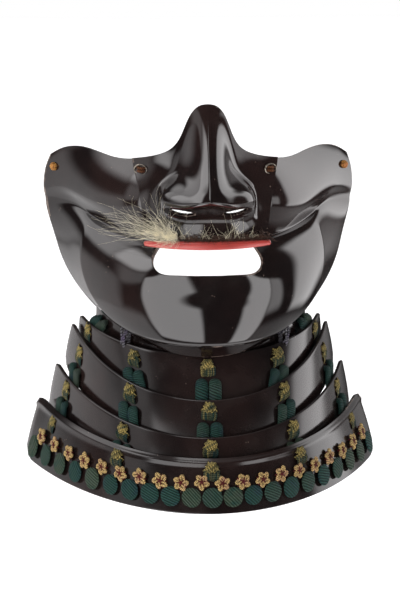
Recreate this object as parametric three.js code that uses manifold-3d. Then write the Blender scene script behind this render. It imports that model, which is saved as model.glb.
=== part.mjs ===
import * as THREE from 'three';
import { mergeVertices } from 'three/addons/utils/BufferGeometryUtils.js';
import Module from 'manifold-3d';

// Face guard (menpo) with a laced throat guard, in millimetres.
// Front is -Y and up is +Z. The origin is on the symmetry plane at the height of the
// mouth slot, in the plane of the cheeks' rear edges, where the guard rests on the face.

const PLATE_WALL = 2.0;
const NOSE_WALL = 1.6;
const LAME_WALL = 2.0;
const NECK_WALL = 1.8;
const CLEARANCE = 0.35;
const CORD_HALF_WIDTH = 7.2;
const CORD_HALF_DEPTH = 1.3;
const CORD_SIDES = 8;
const CORD_WAIST = 0.6;
const CORD_PINCH = 2.6;
const HOLE_OVERRUN = 3;
const KNOT_LIFT = 0.7;
const KNOT_WIDTH = 8.4;
const KNOT_HEIGHT = 9.0;
const KNOT_DEPTH = 3.6;
const END_KNOT_DEPTH = 1.7;
const COLUMNS = [-0.85, -0.445, 0, 0.445, 0.85];
const COLUMN_NAMES = ['far_left', 'left', 'centre', 'right', 'far_right'];
const LAME_COLUMNS = 22;
const END_COLUMN = 0.6;
const SHANK_RADIUS = 1.1;
const SHANK_HOLE_REACH = 6;
const TIE_LIFT = 0.2;
const KNOT_BACK = 0.5;
const CHEEK_KNOT = [2.6, 3.2, 1.3];
const CHEEK_KNOT_PLACE = [83, 45];
const CHEEK_SHANK = 2.6;
const NOSE_TIE = [3.2, 2.2, 1.1];
const NOSE_TIE_PLACE = [35.4, 50.5];
const TIE_SHANK = 5.2;
const JAW_LINK = [2.7, 7.5];
const JAW_LINK_PLACE = [44.2, -69.4, -44.7];
const JAW_CORD_RADIUS = 1;
const FACE_STEPS = 2;
const NOSE_STEPS = 2;
const NOSTRIL_ROWS = [14, 16];
const NOSTRIL_COLUMNS = [3, 6];
const LIP_STATIONS = 18;
const LIP_HALF_WIDTH = 35;
const LIP_FRONT = -99.8;
const LIP_CURVE = 9.5;
const STUBBLE_STATIONS = 16;
const STUBBLE_HALF_WIDTH = 20;
const STUBBLE_MIDDLE = [7, -100.1, 18.4];
const NECK_CORNER = 0.04;
const LAME_CORNER = 0.07;
const HEM_COUNT = 21;
const HEM_SPAN = 0.93;
const HEM_GREEN_UP = 8.5;
const HEM_GOLD_UP = 16.5;

// Sections of the face plate from the mouth side outwards to the free edge,
// taken in order from the top of the cheek, down past the jaw, to the chin.
const FACE_SECTIONS = [
  [[24, -75, 56.4], [32.3, -70, 56], [40.7, -62, 54.4], [49.4, -53, 54],
    [58, -42, 56.5], [67.5, -31, 58.8], [78, -21.5, 57.2], [85.2, -15, 51.8]],
  [[23.8, -78, 49.7], [32.3, -75.5, 49.2], [41.2, -69, 47.2], [50.6, -58.5, 46],
    [60.4, -45.5, 46.8], [70.2, -33, 48], [79.5, -21.5, 47.5], [88.4, -11, 44]],
  [[23.6, -81, 40.1], [32, -79.5, 39.7], [41.4, -74, 38.3], [51.4, -63, 36.8],
    [61.5, -49, 37.4], [71, -35, 38.9], [80.1, -21.5, 39], [89.4, -9, 35]],
  [[23.5, -82.5, 31.3], [32.5, -81, 30.5], [41.9, -76, 29.1], [52, -65, 28],
    [62, -51, 29], [70.4, -36.5, 31.5], [79.5, -22, 34.2], [89.2, -8.3, 30]],
  [[24.3, -80, 23.8], [32.8, -77.5, 22.8], [41.7, -71, 21.8], [51.1, -60.5, 21.9],
    [59.6, -48.5, 24.1], [67.7, -36, 27.2], [76, -22.5, 31], [88, -8, 26]],
  [[24.2, -81, 12.2], [33.5, -76, 12.5], [42.6, -67.5, 13.4], [50.9, -57, 15.2],
    [58.5, -45.5, 17.8], [65.3, -36.5, 21.3], [73.4, -24, 26.2], [88, -8.2, 22.5]],
  [[27.5, -86, 7.2], [33.2, -82, 9.1], [42.8, -74.5, 9.6], [51.4, -65, 11.2],
    [59.5, -55, 13.5], [65.3, -46.5, 16], [74.5, -28, 18], [87, -9, 17]],
  [[32, -89.8, 1.5], [37.2, -87, -0.8], [46.5, -80, -0.5], [56.5, -69.5, 0.8],
    [65, -57.5, 2.4], [69.5, -50, 3.2], [75, -34, 2.8], [82.5, -14.5, 3.5]],
  [[28.3, -94.8, -5.5], [36.8, -92.4, -9.5], [47.5, -84, -13.5], [58, -72, -15],
    [65, -61, -13.5], [68.8, -54.5, -12.5], [73, -41, -11.5], [78.5, -25, -11]],
  [[18, -98.5, -5.8], [25.5, -97, -15], [35.5, -94, -25], [46.5, -85, -31],
    [54.5, -73.5, -32.5], [58.3, -67, -33], [60.5, -58, -33], [62, -46.5, -32.5]],
  [[9.5, -99, -6], [12.5, -99.2, -14], [18, -102, -26], [25, -99.5, -38],
    [30, -95.3, -43.7], [32, -92.6, -45], [32.6, -88.3, -47], [32.6, -83.8, -48.8]],
  [[0, -99, -6], [0, -99.3, -13.5], [0, -103, -23], [0, -105.5, -34],
    [0, -106.3, -43.5], [0, -105.3, -45.5], [0, -102, -49.8], [0, -98.8, -53.8]],
];

// Rows of the nose piece from its top edge down to the lip, each from the ridge outwards.
const NOSE_ROWS = [
  [[0, -93, 87.8], [4.8, -92, 87.4], [9, -90, 83], [12, -88, 76],
    [15, -85.5, 67.5], [20, -82, 61], [30, -77, 57.5], [40.5, -69.5, 55.8]],
  [[0, -96.5, 79], [4, -95, 78.5], [8, -91.5, 75], [11.5, -88, 69],
    [15, -85, 62], [21, -82, 56.5], [30, -77.5, 53.5], [40, -71, 52]],
  [[0, -102, 67], [4.5, -99.5, 66.5], [9, -94, 64], [12.5, -88.5, 59.5],
    [16.5, -85, 54.5], [22, -82.5, 51], [30, -79, 49], [39, -73.5, 48]],
  [[0, -108, 55.5], [5, -105, 55], [10, -97.5, 53], [14, -90, 51],
    [18, -85.5, 48.5], [23.5, -83.5, 45], [30, -81, 43.5], [38, -76.5, 42.5]],
  [[0, -113.5, 46.5], [5.5, -110.5, 46.3], [11.5, -102.5, 45.5], [17, -93.5, 46],
    [22, -87.5, 45], [25.5, -83.7, 42], [30, -82, 39], [37, -78.5, 37.5]],
  [[0, -117, 41.5], [6, -114.5, 41.3], [13, -107.5, 41], [20.5, -102, 41.3],
    [26, -95, 40.3], [27, -85, 37.5], [30.5, -82.8, 34.5], [36.2, -80, 33]],
  [[0, -119, 37.2], [6.5, -117, 36.5], [14, -110, 35], [21.5, -103.8, 35.2],
    [26.6, -97, 36], [27.3, -86, 32.5], [30.5, -84, 30], [35.5, -81.5, 28.5]],
  [[0, -114, 33.8], [6.5, -112.5, 33.2], [14, -107, 31.5], [21, -101, 31.5],
    [26, -95.5, 32], [27.3, -87, 28.5], [30, -85, 26], [34.8, -83, 24.5]],
  [[0, -102, 28.6], [6.5, -101.5, 28.2], [13.5, -99.5, 27], [20, -95.5, 27.2],
    [24.5, -91.5, 27.5], [27, -88.5, 24.5], [30, -86.5, 22.5], [34.3, -84.5, 21]],
  [[0, -97.5, 23.5], [6.5, -97, 23.2], [13, -95.8, 22.5], [19, -93.8, 22],
    [23.5, -91.5, 21.5], [27, -89.3, 20], [30, -87.5, 18.8], [34, -85.5, 17.5]],
  [[0, -98.3, 12.6], [7, -98.1, 12.6], [14, -97, 12.6], [20, -95.4, 12.5],
    [25, -93.5, 12.4], [28.5, -91.6, 12.3], [31.5, -89.8, 12.2], [34.5, -87.8, 12]],
];

// Curved plates. Each edge is half its width, the depth at the front and at the tips,
// the height at the front and at the tips, and the angle its curve turns through.
const NECK = {
  top: [60, -84.5, -32, -44, -33, 75],
  foot: [60.5, -86.5, -30, -64, -50, 75],
  wall: NECK_WALL,
  hole: 0.6,
  endHole: 0.24,
};
const LAMES = [
  { top: [69.4, -91, -24, -51.2, -39.2, 75], foot: [71, -104, -22, -83, -68, 72],
    knot: 0.22, hole: 0.46, endKnot: 0.17, endHole: 0.54 },
  { top: [73.6, -106, -22, -73.6, -44, 75], foot: [78.6, -114.5, -20, -101, -69, 70],
    knot: 0.22, hole: 0.5, endKnot: 0.34, endHole: 0.66 },
  { top: [83, -117.5, -20, -92, -67.4, 72], foot: [88.5, -126.5, -18, -120, -98, 65],
    knot: 0.22, hole: 0.48, endKnot: 0.22, endHole: 0.46 },
  { top: [92.5, -126.3, -18, -101.8, -87.7, 65], foot: [102, -137, -28, -130, -121, 57],
    knot: 0.24, endKnot: 0.24 },
];

const wasm = await Module();
wasm.setup();

const v3 = (x, y, z) => new THREE.Vector3(x, y, z);
const mix = (a, b, t) => a.clone().lerp(b, t);
const radians = THREE.MathUtils.degToRad;

// Turns a closed triangle mesh so that its faces point out.
function outward(geometry) {
  const p = geometry.attributes.position;
  const index = geometry.index.array;
  let volume = 0;
  for (let i = 0; i < index.length; i += 3) {
    const [a, b, c] = [0, 1, 2].map((k) => v3().fromBufferAttribute(p, index[i + k]));
    volume += a.dot(b.cross(c));
  }
  if (volume < 0) {
    geometry.setIndex([...index].reverse());
  }
  return geometry;
}

function meshOf(points, triangles) {
  const geometry = new THREE.BufferGeometry().setFromPoints(points);
  geometry.setIndex(triangles);
  return outward(geometry);
}

function toSolid(geometry) {
  let plain = geometry.clone();
  plain.deleteAttribute('normal');
  plain.deleteAttribute('uv');
  plain = outward(mergeVertices(plain, 1e-5));
  return new wasm.Manifold(new wasm.Mesh({
    numProp: 3,
    vertProperties: new Float32Array(plain.attributes.position.array),
    triVerts: new Uint32Array(plain.index.array),
  }));
}

function fromSolid(solid) {
  const mesh = solid.getMesh();
  const geometry = new THREE.BufferGeometry();
  geometry.setAttribute('position', new THREE.BufferAttribute(mesh.vertProperties, 3));
  geometry.setIndex(new THREE.BufferAttribute(mesh.triVerts, 1));
  return geometry;
}

function cut(geometry, tools) {
  let solid = toSolid(geometry);
  for (const tool of tools) {
    solid = solid.subtract(toSolid(tool));
  }
  return fromSolid(solid);
}

function join(geometries) {
  let solid = toSolid(geometries[0]);
  for (const other of geometries.slice(1)) {
    solid = solid.add(toSolid(other));
  }
  return fromSolid(solid);
}

// A uniform cubic B-spline through a row of control points, ending at its end points.
function spline(row, steps) {
  const last = row.length - 1;
  const start = row[0].clone().multiplyScalar(2).sub(row[1]);
  const end = row[last].clone().multiplyScalar(2).sub(row[last - 1]);
  const ext = [start, ...row, end];
  const out = [];
  for (let i = 0; i < last; i += 1) {
    for (let k = 0; k < steps; k += 1) {
      const t = k / steps;
      const s = 1 - t;
      const w = [s ** 3, 3 * t ** 3 - 6 * t * t + 4, -3 * t ** 3 + 3 * t * t + 3 * t + 1, t ** 3];
      const p = v3();
      w.forEach((value, j) => p.addScaledVector(ext[i + j], value / 6));
      out.push(p);
    }
  }
  out.push(row[last].clone());
  return out;
}

const transpose = (grid) => grid[0].map((_, j) => grid.map((row) => row[j]));

function surface(net, steps) {
  const along = net.map((row) => spline(row, steps));
  return transpose(transpose(along).map((column) => spline(column, steps)));
}

function gridNormals(grid) {
  const rows = grid.length - 1;
  const cols = grid[0].length - 1;
  return grid.map((row, i) => row.map((_, j) => {
    const du = grid[Math.min(i + 1, rows)][j].clone().sub(grid[Math.max(i - 1, 0)][j]);
    const dv = grid[i][Math.min(j + 1, cols)].clone().sub(grid[i][Math.max(j - 1, 0)]);
    return du.cross(dv).normalize();
  }));
}

// A plate with the grid as its outer face and a wall behind it; open(i, j) is true where
// a cell is left out.
function shell(grid, wall, open = () => false) {
  const rows = grid.length;
  const cols = grid[0].length;
  const normals = gridNormals(grid);
  const outer = grid.flat();
  const inner = outer.map((p, k) => p.clone().addScaledVector(normals.flat()[k], -wall));
  const half = rows * cols;
  const at = (i, j) => i * cols + j;
  const kept = (i, j) => i >= 0 && j >= 0 && i < rows - 1 && j < cols - 1 && !open(i, j);
  const faces = [];
  const quad = (a, b, c, d) => faces.push(a, b, c, a, c, d);
  for (let i = 0; i < rows - 1; i += 1) {
    for (let j = 0; j < cols - 1; j += 1) {
      if (kept(i, j)) {
        const ring = [at(i, j), at(i + 1, j), at(i + 1, j + 1), at(i, j + 1)];
        const beside = [kept(i, j - 1), kept(i + 1, j), kept(i, j + 1), kept(i - 1, j)];
        quad(...ring);
        quad(...ring.map((k) => k + half).reverse());
        ring.forEach((k, n) => {
          const next = ring[(n + 1) % 4];
          if (!beside[n]) {
            quad(k, k + half, next + half, next);
          }
        });
      }
    }
  }
  return mergeVertices(meshOf([...outer, ...inner], faces), 1e-6);
}

// A solid through a list of rings, capped at both ends or closed on itself.
function loft(rings, closed = false) {
  const size = rings[0].length;
  const points = rings.flat();
  const faces = [];
  const count = closed ? rings.length : rings.length - 1;
  for (let i = 0; i < count; i += 1) {
    for (let j = 0; j < size; j += 1) {
      const a = i * size + j;
      const b = i * size + ((j + 1) % size);
      const c = ((i + 1) % rings.length) * size + ((j + 1) % size);
      const d = ((i + 1) % rings.length) * size + j;
      faces.push(a, b, c, a, c, d);
    }
  }
  if (!closed) {
    for (const [base, flip] of [[0, true], [(rings.length - 1) * size, false]]) {
      const centre = v3();
      for (let j = 0; j < size; j += 1) {
        centre.addScaledVector(points[base + j], 1 / size);
      }
      points.push(centre);
      for (let j = 0; j < size; j += 1) {
        const pair = [base + j, base + ((j + 1) % size)];
        faces.push(points.length - 1, ...(flip ? pair.reverse() : pair));
      }
    }
  }
  return meshOf(points, faces);
}

// An oval ring about a centre, from two half axes.
function oval(centre, across, up, sides, waist = 1) {
  return Array.from({ length: sides }, (_, k) => {
    const angle = (2 * Math.PI * (k + 0.5)) / sides;
    const pinch = Math.abs(Math.cos(angle)) < 0.4 ? waist : 1;
    return centre.clone().addScaledVector(across, Math.cos(angle))
      .addScaledVector(up, Math.sin(angle) * pinch);
  });
}

// A cord along a list of points, its width held in the direction across.
function cord(points, across, widths, depths, sides, waist = 1) {
  return loft(points.map((p, i) => {
    const before = points[Math.max(i - 1, 0)];
    const after = points[Math.min(i + 1, points.length - 1)];
    const forward = after.clone().sub(before).normalize();
    const up = forward.cross(across).normalize();
    return oval(p, across.clone().multiplyScalar(widths[i]), up.multiplyScalar(depths[i]), sides, waist);
  }));
}

// A point on a curved plate: u runs from -1 to 1 round it and s from its top to its foot.
function edgePoint([width, front, rear, high, tip, angle], u) {
  const turn = radians(angle);
  const k = (1 - Math.cos(turn * u)) / (1 - Math.cos(turn));
  const x = (width * Math.sin(turn * u)) / Math.sin(turn);
  return v3(x, front + (rear - front) * k, high + (tip - high) * k);
}

const platePoint = (plate, u, s) => mix(edgePoint(plate.top, u), edgePoint(plate.foot, u), s);

function plateFrame(plate, u, s) {
  const step = 0.01;
  const across = platePoint(plate, u + step, s).sub(platePoint(plate, u - step, s)).normalize();
  const down = platePoint(plate, u, s + step).sub(platePoint(plate, u, s - step)).normalize();
  const out = across.clone().cross(down).negate().normalize();
  return { across, down, out };
}

function offPlate(plate, u, s, off) {
  return platePoint(plate, u, s).addScaledVector(plateFrame(plate, u, s).out, off);
}

// Rows of a plate, each a share of its height and how far the row stands out.
function curvedPlate(plate, rowList, corner) {
  const grid = rowList.map(([s, off]) => Array.from({ length: LAME_COLUMNS + 1 }, (_, j) => {
    const u = -1 + (2 * j) / LAME_COLUMNS;
    const near = Math.max(0, (Math.abs(u) - (1 - corner)) / corner);
    const drop = 1 - Math.sqrt(Math.max(0, 1 - near * near));
    return offPlate(plate, u, s - 0.16 * drop * s * s + 0.06 * drop * (1 - s), off);
  }));
  return shell(grid, plate.wall ?? LAME_WALL);
}

// Face plate: two cheeks and a chin in one piece, with the mouth open between them.
const half = FACE_SECTIONS.map((row) => row.map((p) => v3(...p)));
const mirrored = half.slice(0, -1).reverse().map((row) => row.map((p) => v3(-p.x, p.y, p.z)));
const faceGrid = surface([...half, ...mirrored], FACE_STEPS);

// Nose piece, lying on the cheeks, with two nostril openings under the tip.
const noseNet = NOSE_ROWS.map((row) => {
  const right = row.map((p) => v3(...p));
  return [...right.slice(1).reverse().map((p) => v3(-p.x, p.y, p.z)), ...right];
});
const noseGrid = surface(noseNet, NOSE_STEPS);
const noseMiddle = (NOSE_ROWS[0].length - 1) * NOSE_STEPS;
const within = (value, [low, high]) => value >= low && value < high;
const nostril = (i, j) => within(i, NOSTRIL_ROWS)
  && (within(j - noseMiddle, NOSTRIL_COLUMNS) || within(noseMiddle - 1 - j, NOSTRIL_COLUMNS));

const parts = {};
const cutters = {};
const slots = {};

function add(name, geometry, slot) {
  parts[name] = geometry;
  slots[name] = slot;
}

function cutFrom(name, ...tools) {
  cutters[name] = [...(cutters[name] ?? []), ...tools];
}

add('face_plate', shell(faceGrid, PLATE_WALL), 'lacquer');
add('nose_piece', shell(noseGrid, NOSE_WALL, nostril), 'lacquer');

// Red lip along the foot of the nose piece, swelling outwards and tapering to its ends.
const lipRings = Array.from({ length: LIP_STATIONS + 1 }, (_, k) => {
  const u = -1 + (2 * k) / LIP_STATIONS;
  const swell = Math.sqrt(1 - 0.9 * u * u);
  const centre = v3(LIP_HALF_WIDTH * u, LIP_FRONT + LIP_CURVE * u * u, 11 + 0.3 * u * u);
  const out = v3(0.5 * u, -1, 0).normalize();
  const up = v3(0, 0.2, 1).normalize();
  return oval(centre, out.multiplyScalar(0.9 + 0.9 * swell), up.multiplyScalar(0.7 + 1.7 * swell), 8);
});
add('red_lip', loft(lipRings), 'red_lacquer');

// Moustache: a long tuft on the left and short bristles along the lip.
const tuftPath = [
  [-12, -102.5, 19], [-17, -102.2, 18.3], [-23, -100, 18], [-30, -95.5, 19],
  [-38, -88.5, 22], [-47, -80, 25], [-56, -69.5, 27], [-62, -61, 28],
];
const tuftHalf = [1.2, 3.2, 4.2, 4.6, 5.2, 5.4, 3.6, 1.2];
add('moustache_tuft', loft(tuftPath.map(([x, y, z], k) => {
  const next = tuftPath[Math.min(k + 1, tuftPath.length - 1)];
  const last = tuftPath[Math.max(k - 1, 0)];
  const forward = v3(next[0] - last[0], next[1] - last[1], 0).normalize();
  const out = forward.clone().cross(v3(0, 0, 1)).normalize();
  const depth = Math.min(1.3, 0.45 * tuftHalf[k]);
  return oval(v3(x, y, z), v3(0, 0, 1).multiplyScalar(tuftHalf[k]), out.multiplyScalar(depth), 8);
})), 'hair');

const stubbleRings = Array.from({ length: STUBBLE_STATIONS + 1 }, (_, k) => {
  const u = -1 + (2 * k) / STUBBLE_STATIONS;
  const swell = Math.sqrt(1 - 0.85 * u * u);
  const ripple = 1 + 0.25 * Math.sin(9 * u + 1);
  const [middle, front, high] = STUBBLE_MIDDLE;
  const curve = u > 0 ? 6.72 : 0.84;
  const centre = v3(middle + STUBBLE_HALF_WIDTH * u, front + curve * u * u, high);
  const out = v3(u > 0 ? 0.5 * u : 0, -1, 0.1).normalize();
  const tall = v3(0, 0, 1).multiplyScalar(2.4 * swell * ripple);
  return oval(centre, tall, out.multiplyScalar(0.7 * swell), 6);
});
add('moustache_stubble', loft(stubbleRings), 'dark_hair');

// A round cord laid along a centre line in a plane, as a closed ring.
function ringCord(centre, a, b, radiusA, radiusB, thickness, sides = 6, steps = 16) {
  const normal = a.clone().cross(b).normalize();
  return loft(Array.from({ length: steps }, (_, k) => {
    const angle = (2 * Math.PI * k) / steps;
    const radial = a.clone().multiplyScalar(Math.cos(angle))
      .addScaledVector(b, Math.sin(angle)).normalize();
    const p = centre.clone().addScaledVector(a, radiusA * Math.cos(angle))
      .addScaledVector(b, radiusB * Math.sin(angle));
    return oval(p, radial.multiplyScalar(thickness), normal.clone().multiplyScalar(thickness), sides);
  }), true);
}

// A knot with a short shank through the plates it holds, and a smaller knot behind them.
function studKnot(centre, out, across, [w, h, d], shankLength) {
  const up = out.clone().cross(across).normalize();
  const section = (off, a, b) => oval(centre.clone().addScaledVector(out, off),
    across.clone().multiplyScalar(a), up.clone().multiplyScalar(b), CORD_SIDES);
  return loft([
    section(-shankLength - 4.4 * KNOT_BACK, w * 0.3, h * 0.3),
    section(-shankLength - 3.2 * KNOT_BACK, w * 0.7, h * 0.7),
    section(-shankLength - KNOT_BACK, w * 0.6, h * 0.6),
    section(-shankLength - 0.2 * KNOT_BACK, SHANK_RADIUS, SHANK_RADIUS),
    section(0.2 * KNOT_BACK, SHANK_RADIUS, SHANK_RADIUS),
    section(KNOT_BACK, w * 0.75, h * 0.75),
    section(KNOT_BACK + d * 0.8, w, h),
    section(KNOT_BACK + d * 1.6, w * 0.7, h * 0.7),
    section(KNOT_BACK + d * 2, w * 0.2, h * 0.2),
  ]);
}

function shankHole(centre, out, across, shankLength) {
  const up = out.clone().cross(across).normalize();
  const radius = SHANK_RADIUS + CLEARANCE;
  const ends = [-shankLength - SHANK_HOLE_REACH, SHANK_HOLE_REACH];
  return loft(ends.map((off) => oval(centre.clone().addScaledVector(out, off),
    across.clone().multiplyScalar(radius), up.clone().multiplyScalar(radius), CORD_SIDES)));
}

function nearest(grid, x, z) {
  const normals = gridNormals(grid);
  let best = null;
  grid.forEach((row, i) => row.forEach((p, j) => {
    const away = Math.hypot(p.x - x, p.z - z);
    if (!best || away < best.away) {
      best = { away, p, out: normals[i][j].clone() };
    }
  }));
  const depth = best.p.y - ((x - best.p.x) * best.out.x + (z - best.p.z) * best.out.z) / best.out.y;
  return { point: v3(x, depth, z), out: best.out };
}

for (const [side, hand] of [[-1, 'left'], [1, 'right']]) {
  const cheek = nearest(faceGrid, side * CHEEK_KNOT_PLACE[0], CHEEK_KNOT_PLACE[1]);
  const cheekAcross = v3(0, 0, 1).cross(cheek.out).normalize();
  const cheekAt = cheek.point.clone().addScaledVector(cheek.out, TIE_LIFT);
  const cheekKnot = studKnot(cheekAt, cheek.out, cheekAcross, CHEEK_KNOT, CHEEK_SHANK);
  add(`cheek_knot_${hand}`, cheekKnot, 'orange_cord');
  cutFrom('face_plate', shankHole(cheekAt, cheek.out, cheekAcross, CHEEK_SHANK));

  const tie = nearest(noseGrid, side * NOSE_TIE_PLACE[0], NOSE_TIE_PLACE[1]);
  const tieAcross = v3(0, 0, 1).cross(tie.out).normalize();
  const tieAt = tie.point.clone().addScaledVector(tie.out, TIE_LIFT);
  add(`nose_tie_${hand}`, studKnot(tieAt, tie.out, tieAcross, NOSE_TIE, TIE_SHANK), 'brown_cord');
  const tieHole = shankHole(tieAt, tie.out, tieAcross, TIE_SHANK);
  cutFrom('face_plate', tieHole);
  cutFrom('nose_piece', tieHole);

  const [linkX, linkY, linkZ] = JAW_LINK_PLACE;
  const link = v3(side * linkX, linkY, linkZ);
  const linkOut = v3(side * 0.62, -0.78, 0).normalize();
  const linkUp = v3(0, 0, 1);
  add(`jaw_tie_${hand}`, ringCord(link, linkOut, linkUp, ...JAW_LINK, JAW_CORD_RADIUS), 'grey_cord');
  const linkHole = ringCord(link, linkOut, linkUp, ...JAW_LINK, JAW_CORD_RADIUS + CLEARANCE);
  cutFrom('face_plate', linkHole);
  cutFrom('lame_1', linkHole);
  cutFrom('neck_plate', linkHole);
}

// Neck plate and four lames of the throat guard, each hanging outside the one above.
const plain = [[0, 0], [0.5, 0.4], [1, 0]];
const beaded = [[0, 0], [0.06, 0.7], [0.12, 0.7], [0.18, 0], [0.6, 0.2], [1, 0]];
add('neck_plate', curvedPlate(NECK, [[0, 0], [1, 0]], NECK_CORNER), 'lacquer');
LAMES.forEach((plate, k) => {
  add(`lame_${k + 1}`, curvedPlate(plate, k === 3 ? beaded : plain, LAME_CORNER), 'lacquer');
});

const isEnd = (u) => Math.abs(u) > END_COLUMN;
const holeAt = (plate, u) => (isEnd(u) ? plate.endHole : plate.hole);
const knotAt = (plate, u) => (isEnd(u) ? plate.endKnot : plate.knot) + 0.01;

// Lacing: a pair of cords comes out through the plate above, runs down over it behind the
// next one, and comes out through that one into a knot on its face.
function laceBetween(upper, lower, u, grow) {
  const upperWall = upper.wall ?? LAME_WALL;
  const sTop = holeAt(upper, u);
  const sFoot = knotAt(lower, u);
  const behind = -LAME_WALL - CLEARANCE - CORD_HALF_DEPTH;
  const exit = CLEARANCE + CORD_HALF_DEPTH + 0.25;
  const w = CORD_HALF_WIDTH;
  const d = CORD_HALF_DEPTH;
  const overrun = grow > 0 ? HOLE_OVERRUN : 0;
  const { across } = plateFrame(upper, u, sTop);
  const start = offPlate(upper, u, sTop + 0.05, exit);
  const tuck = offPlate(lower, u, 0.02, behind - 0.15);
  const path = [
    [offPlate(upper, u, sTop, -upperWall - 1.6 - overrun), w * 0.8, d * 0.9],
    [offPlate(upper, u, sTop, -upperWall), w * 0.8, d * 0.9],
    [offPlate(upper, u, sTop, 0), w * 0.85, d * 0.9],
    [start, w, d],
    [tuck, w, d],
    [offPlate(lower, u, sFoot - 0.07, behind - 0.05), w * 0.8, d],
    [offPlate(lower, u, sFoot, -LAME_WALL + 0.3), CORD_PINCH, 1.5],
    [offPlate(lower, u, sFoot, 1.4 + 2 * overrun), CORD_PINCH - 0.2, 1.5],
  ].filter(([p]) => p !== tuck || tuck.z < start.z - 1);
  const points = path.map(([p]) => p);
  const widths = path.map(([, width]) => width + grow);
  const depths = path.map(([, , depth]) => depth + grow);
  return cord(points, across, widths, depths, CORD_SIDES, CORD_WAIST);
}

function frontKnot(plate, u, s) {
  const depth = isEnd(u) ? END_KNOT_DEPTH : KNOT_DEPTH;
  const { across, down } = plateFrame(plate, u, s);
  across.multiplyScalar(KNOT_WIDTH / 2);
  down.multiplyScalar(KNOT_HEIGHT / 2);
  const ring = (off, size) => oval(offPlate(plate, u, s, off),
    across.clone().multiplyScalar(size), down.clone().multiplyScalar(size), CORD_SIDES);
  return loft([
    ring(KNOT_LIFT, 0.8),
    ring(KNOT_LIFT + depth * 0.4, 1),
    ring(KNOT_LIFT + depth * 0.8, 0.75),
    ring(KNOT_LIFT + depth, 0.3),
  ]);
}

[NECK, ...LAMES].slice(0, -1).forEach((upper, k) => {
  const lower = LAMES[k];
  COLUMNS.forEach((u, n) => {
    const lace = laceBetween(upper, lower, u, 0);
    const hole = laceBetween(upper, lower, u, CLEARANCE);
    const knot = frontKnot(lower, u, knotAt(lower, u));
    add(`lace_${k + 1}_${COLUMN_NAMES[n]}`, join([lace, knot]), 'green_cord');
    cutFrom(k === 0 ? 'neck_plate' : `lame_${k}`, hole);
    cutFrom(`lame_${k + 1}`, hole);
  });
});

// Two rows along the foot of the lowest lame: green ovals, and gold knots between them.
function hemRow(count, span, upward, halfHeight, depth, neckHeight) {
  const plate = LAMES[3];
  const stations = [-0.44, -0.3, 0, 0.3, 0.44];
  const size = [0, 0.72, 1, 0.72, 0];
  const rings = [];
  for (let i = 0; i < count; i += 1) {
    const place = -span + (2 * span * i) / (count - 1);
    stations.forEach((along, n) => {
      const u = place + (along * 2 * span) / (count - 1);
      const height = platePoint(plate, u, 0).distanceTo(platePoint(plate, u, 1));
      const s = 1 - upward / height;
      const { down } = plateFrame(plate, u, s);
      const h = neckHeight + (halfHeight - neckHeight) * size[n];
      const d = 0.5 + (depth - 0.5) * size[n];
      rings.push([[-1, 0], [-0.8, 0.8], [0, 1], [0.8, 0.8], [1, 0]].map(([a, b]) =>
        offPlate(plate, u, s, 0.4 + 2 * d * b).addScaledVector(down, a * h)));
    });
  }
  return loft(rings);
}
add('hem_green_braid', hemRow(HEM_COUNT, HEM_SPAN, HEM_GREEN_UP, 5, 1.3, 1.4), 'green_cord');
const goldRow = hemRow(HEM_COUNT - 1, HEM_SPAN * 0.95, HEM_GOLD_UP, 3.8, 1.5, 0.7);
add('hem_gold_knots', goldRow, 'gold_cord');

const MATERIALS = {
  lacquer: [0x17100f, 0.18, 0.0],
  red_lacquer: [0x9c2b25, 0.35, 0.0],
  green_cord: [0x1d3a32, 0.9, 0.0],
  gold_cord: [0xb98f4c, 0.8, 0.0],
  orange_cord: [0xb8762e, 0.85, 0.0],
  brown_cord: [0x6b4a2b, 0.85, 0.0],
  grey_cord: [0x4a4e52, 0.85, 0.0],
  hair: [0xc9bf96, 0.7, 0.0],
  dark_hair: [0x2c211b, 0.8, 0.0],
};

const guard = new THREE.Group();
for (const [name, geometry] of Object.entries(parts)) {
  const shape = cutters[name] ? cut(geometry, cutters[name]) : geometry;
  const [color, roughness, metalness] = MATERIALS[slots[name]];
  const mesh = new THREE.Mesh(shape, new THREE.MeshStandardMaterial({ color, roughness, metalness }));
  mesh.name = name;
  guard.add(mesh);
}

export default guard;
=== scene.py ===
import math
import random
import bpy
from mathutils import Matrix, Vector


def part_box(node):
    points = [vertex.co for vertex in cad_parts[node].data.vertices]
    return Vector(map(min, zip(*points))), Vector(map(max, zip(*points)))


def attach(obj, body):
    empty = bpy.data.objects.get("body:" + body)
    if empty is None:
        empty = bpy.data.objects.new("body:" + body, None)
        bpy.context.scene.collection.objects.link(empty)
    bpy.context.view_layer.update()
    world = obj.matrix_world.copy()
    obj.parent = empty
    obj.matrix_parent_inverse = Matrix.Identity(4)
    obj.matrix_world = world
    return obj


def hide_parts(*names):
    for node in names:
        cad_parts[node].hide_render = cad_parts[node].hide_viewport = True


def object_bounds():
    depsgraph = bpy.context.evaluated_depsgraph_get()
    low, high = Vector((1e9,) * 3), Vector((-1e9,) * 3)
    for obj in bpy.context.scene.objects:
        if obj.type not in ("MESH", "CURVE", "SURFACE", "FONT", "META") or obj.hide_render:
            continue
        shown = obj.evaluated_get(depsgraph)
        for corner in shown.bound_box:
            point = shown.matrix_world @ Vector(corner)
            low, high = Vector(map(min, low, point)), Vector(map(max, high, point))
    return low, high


bl_info = {
    "name": "Samurai face guard",
    "version": (1, 0, 0),
    "blender": (4, 5, 0),
    "location": "View3D > Sidebar > Face guard",
    "description": "Models a lacquered face guard with its laced throat guard, and its studio",
    "category": "Object",
}

import bpy
from mathutils import Matrix, Vector

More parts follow.
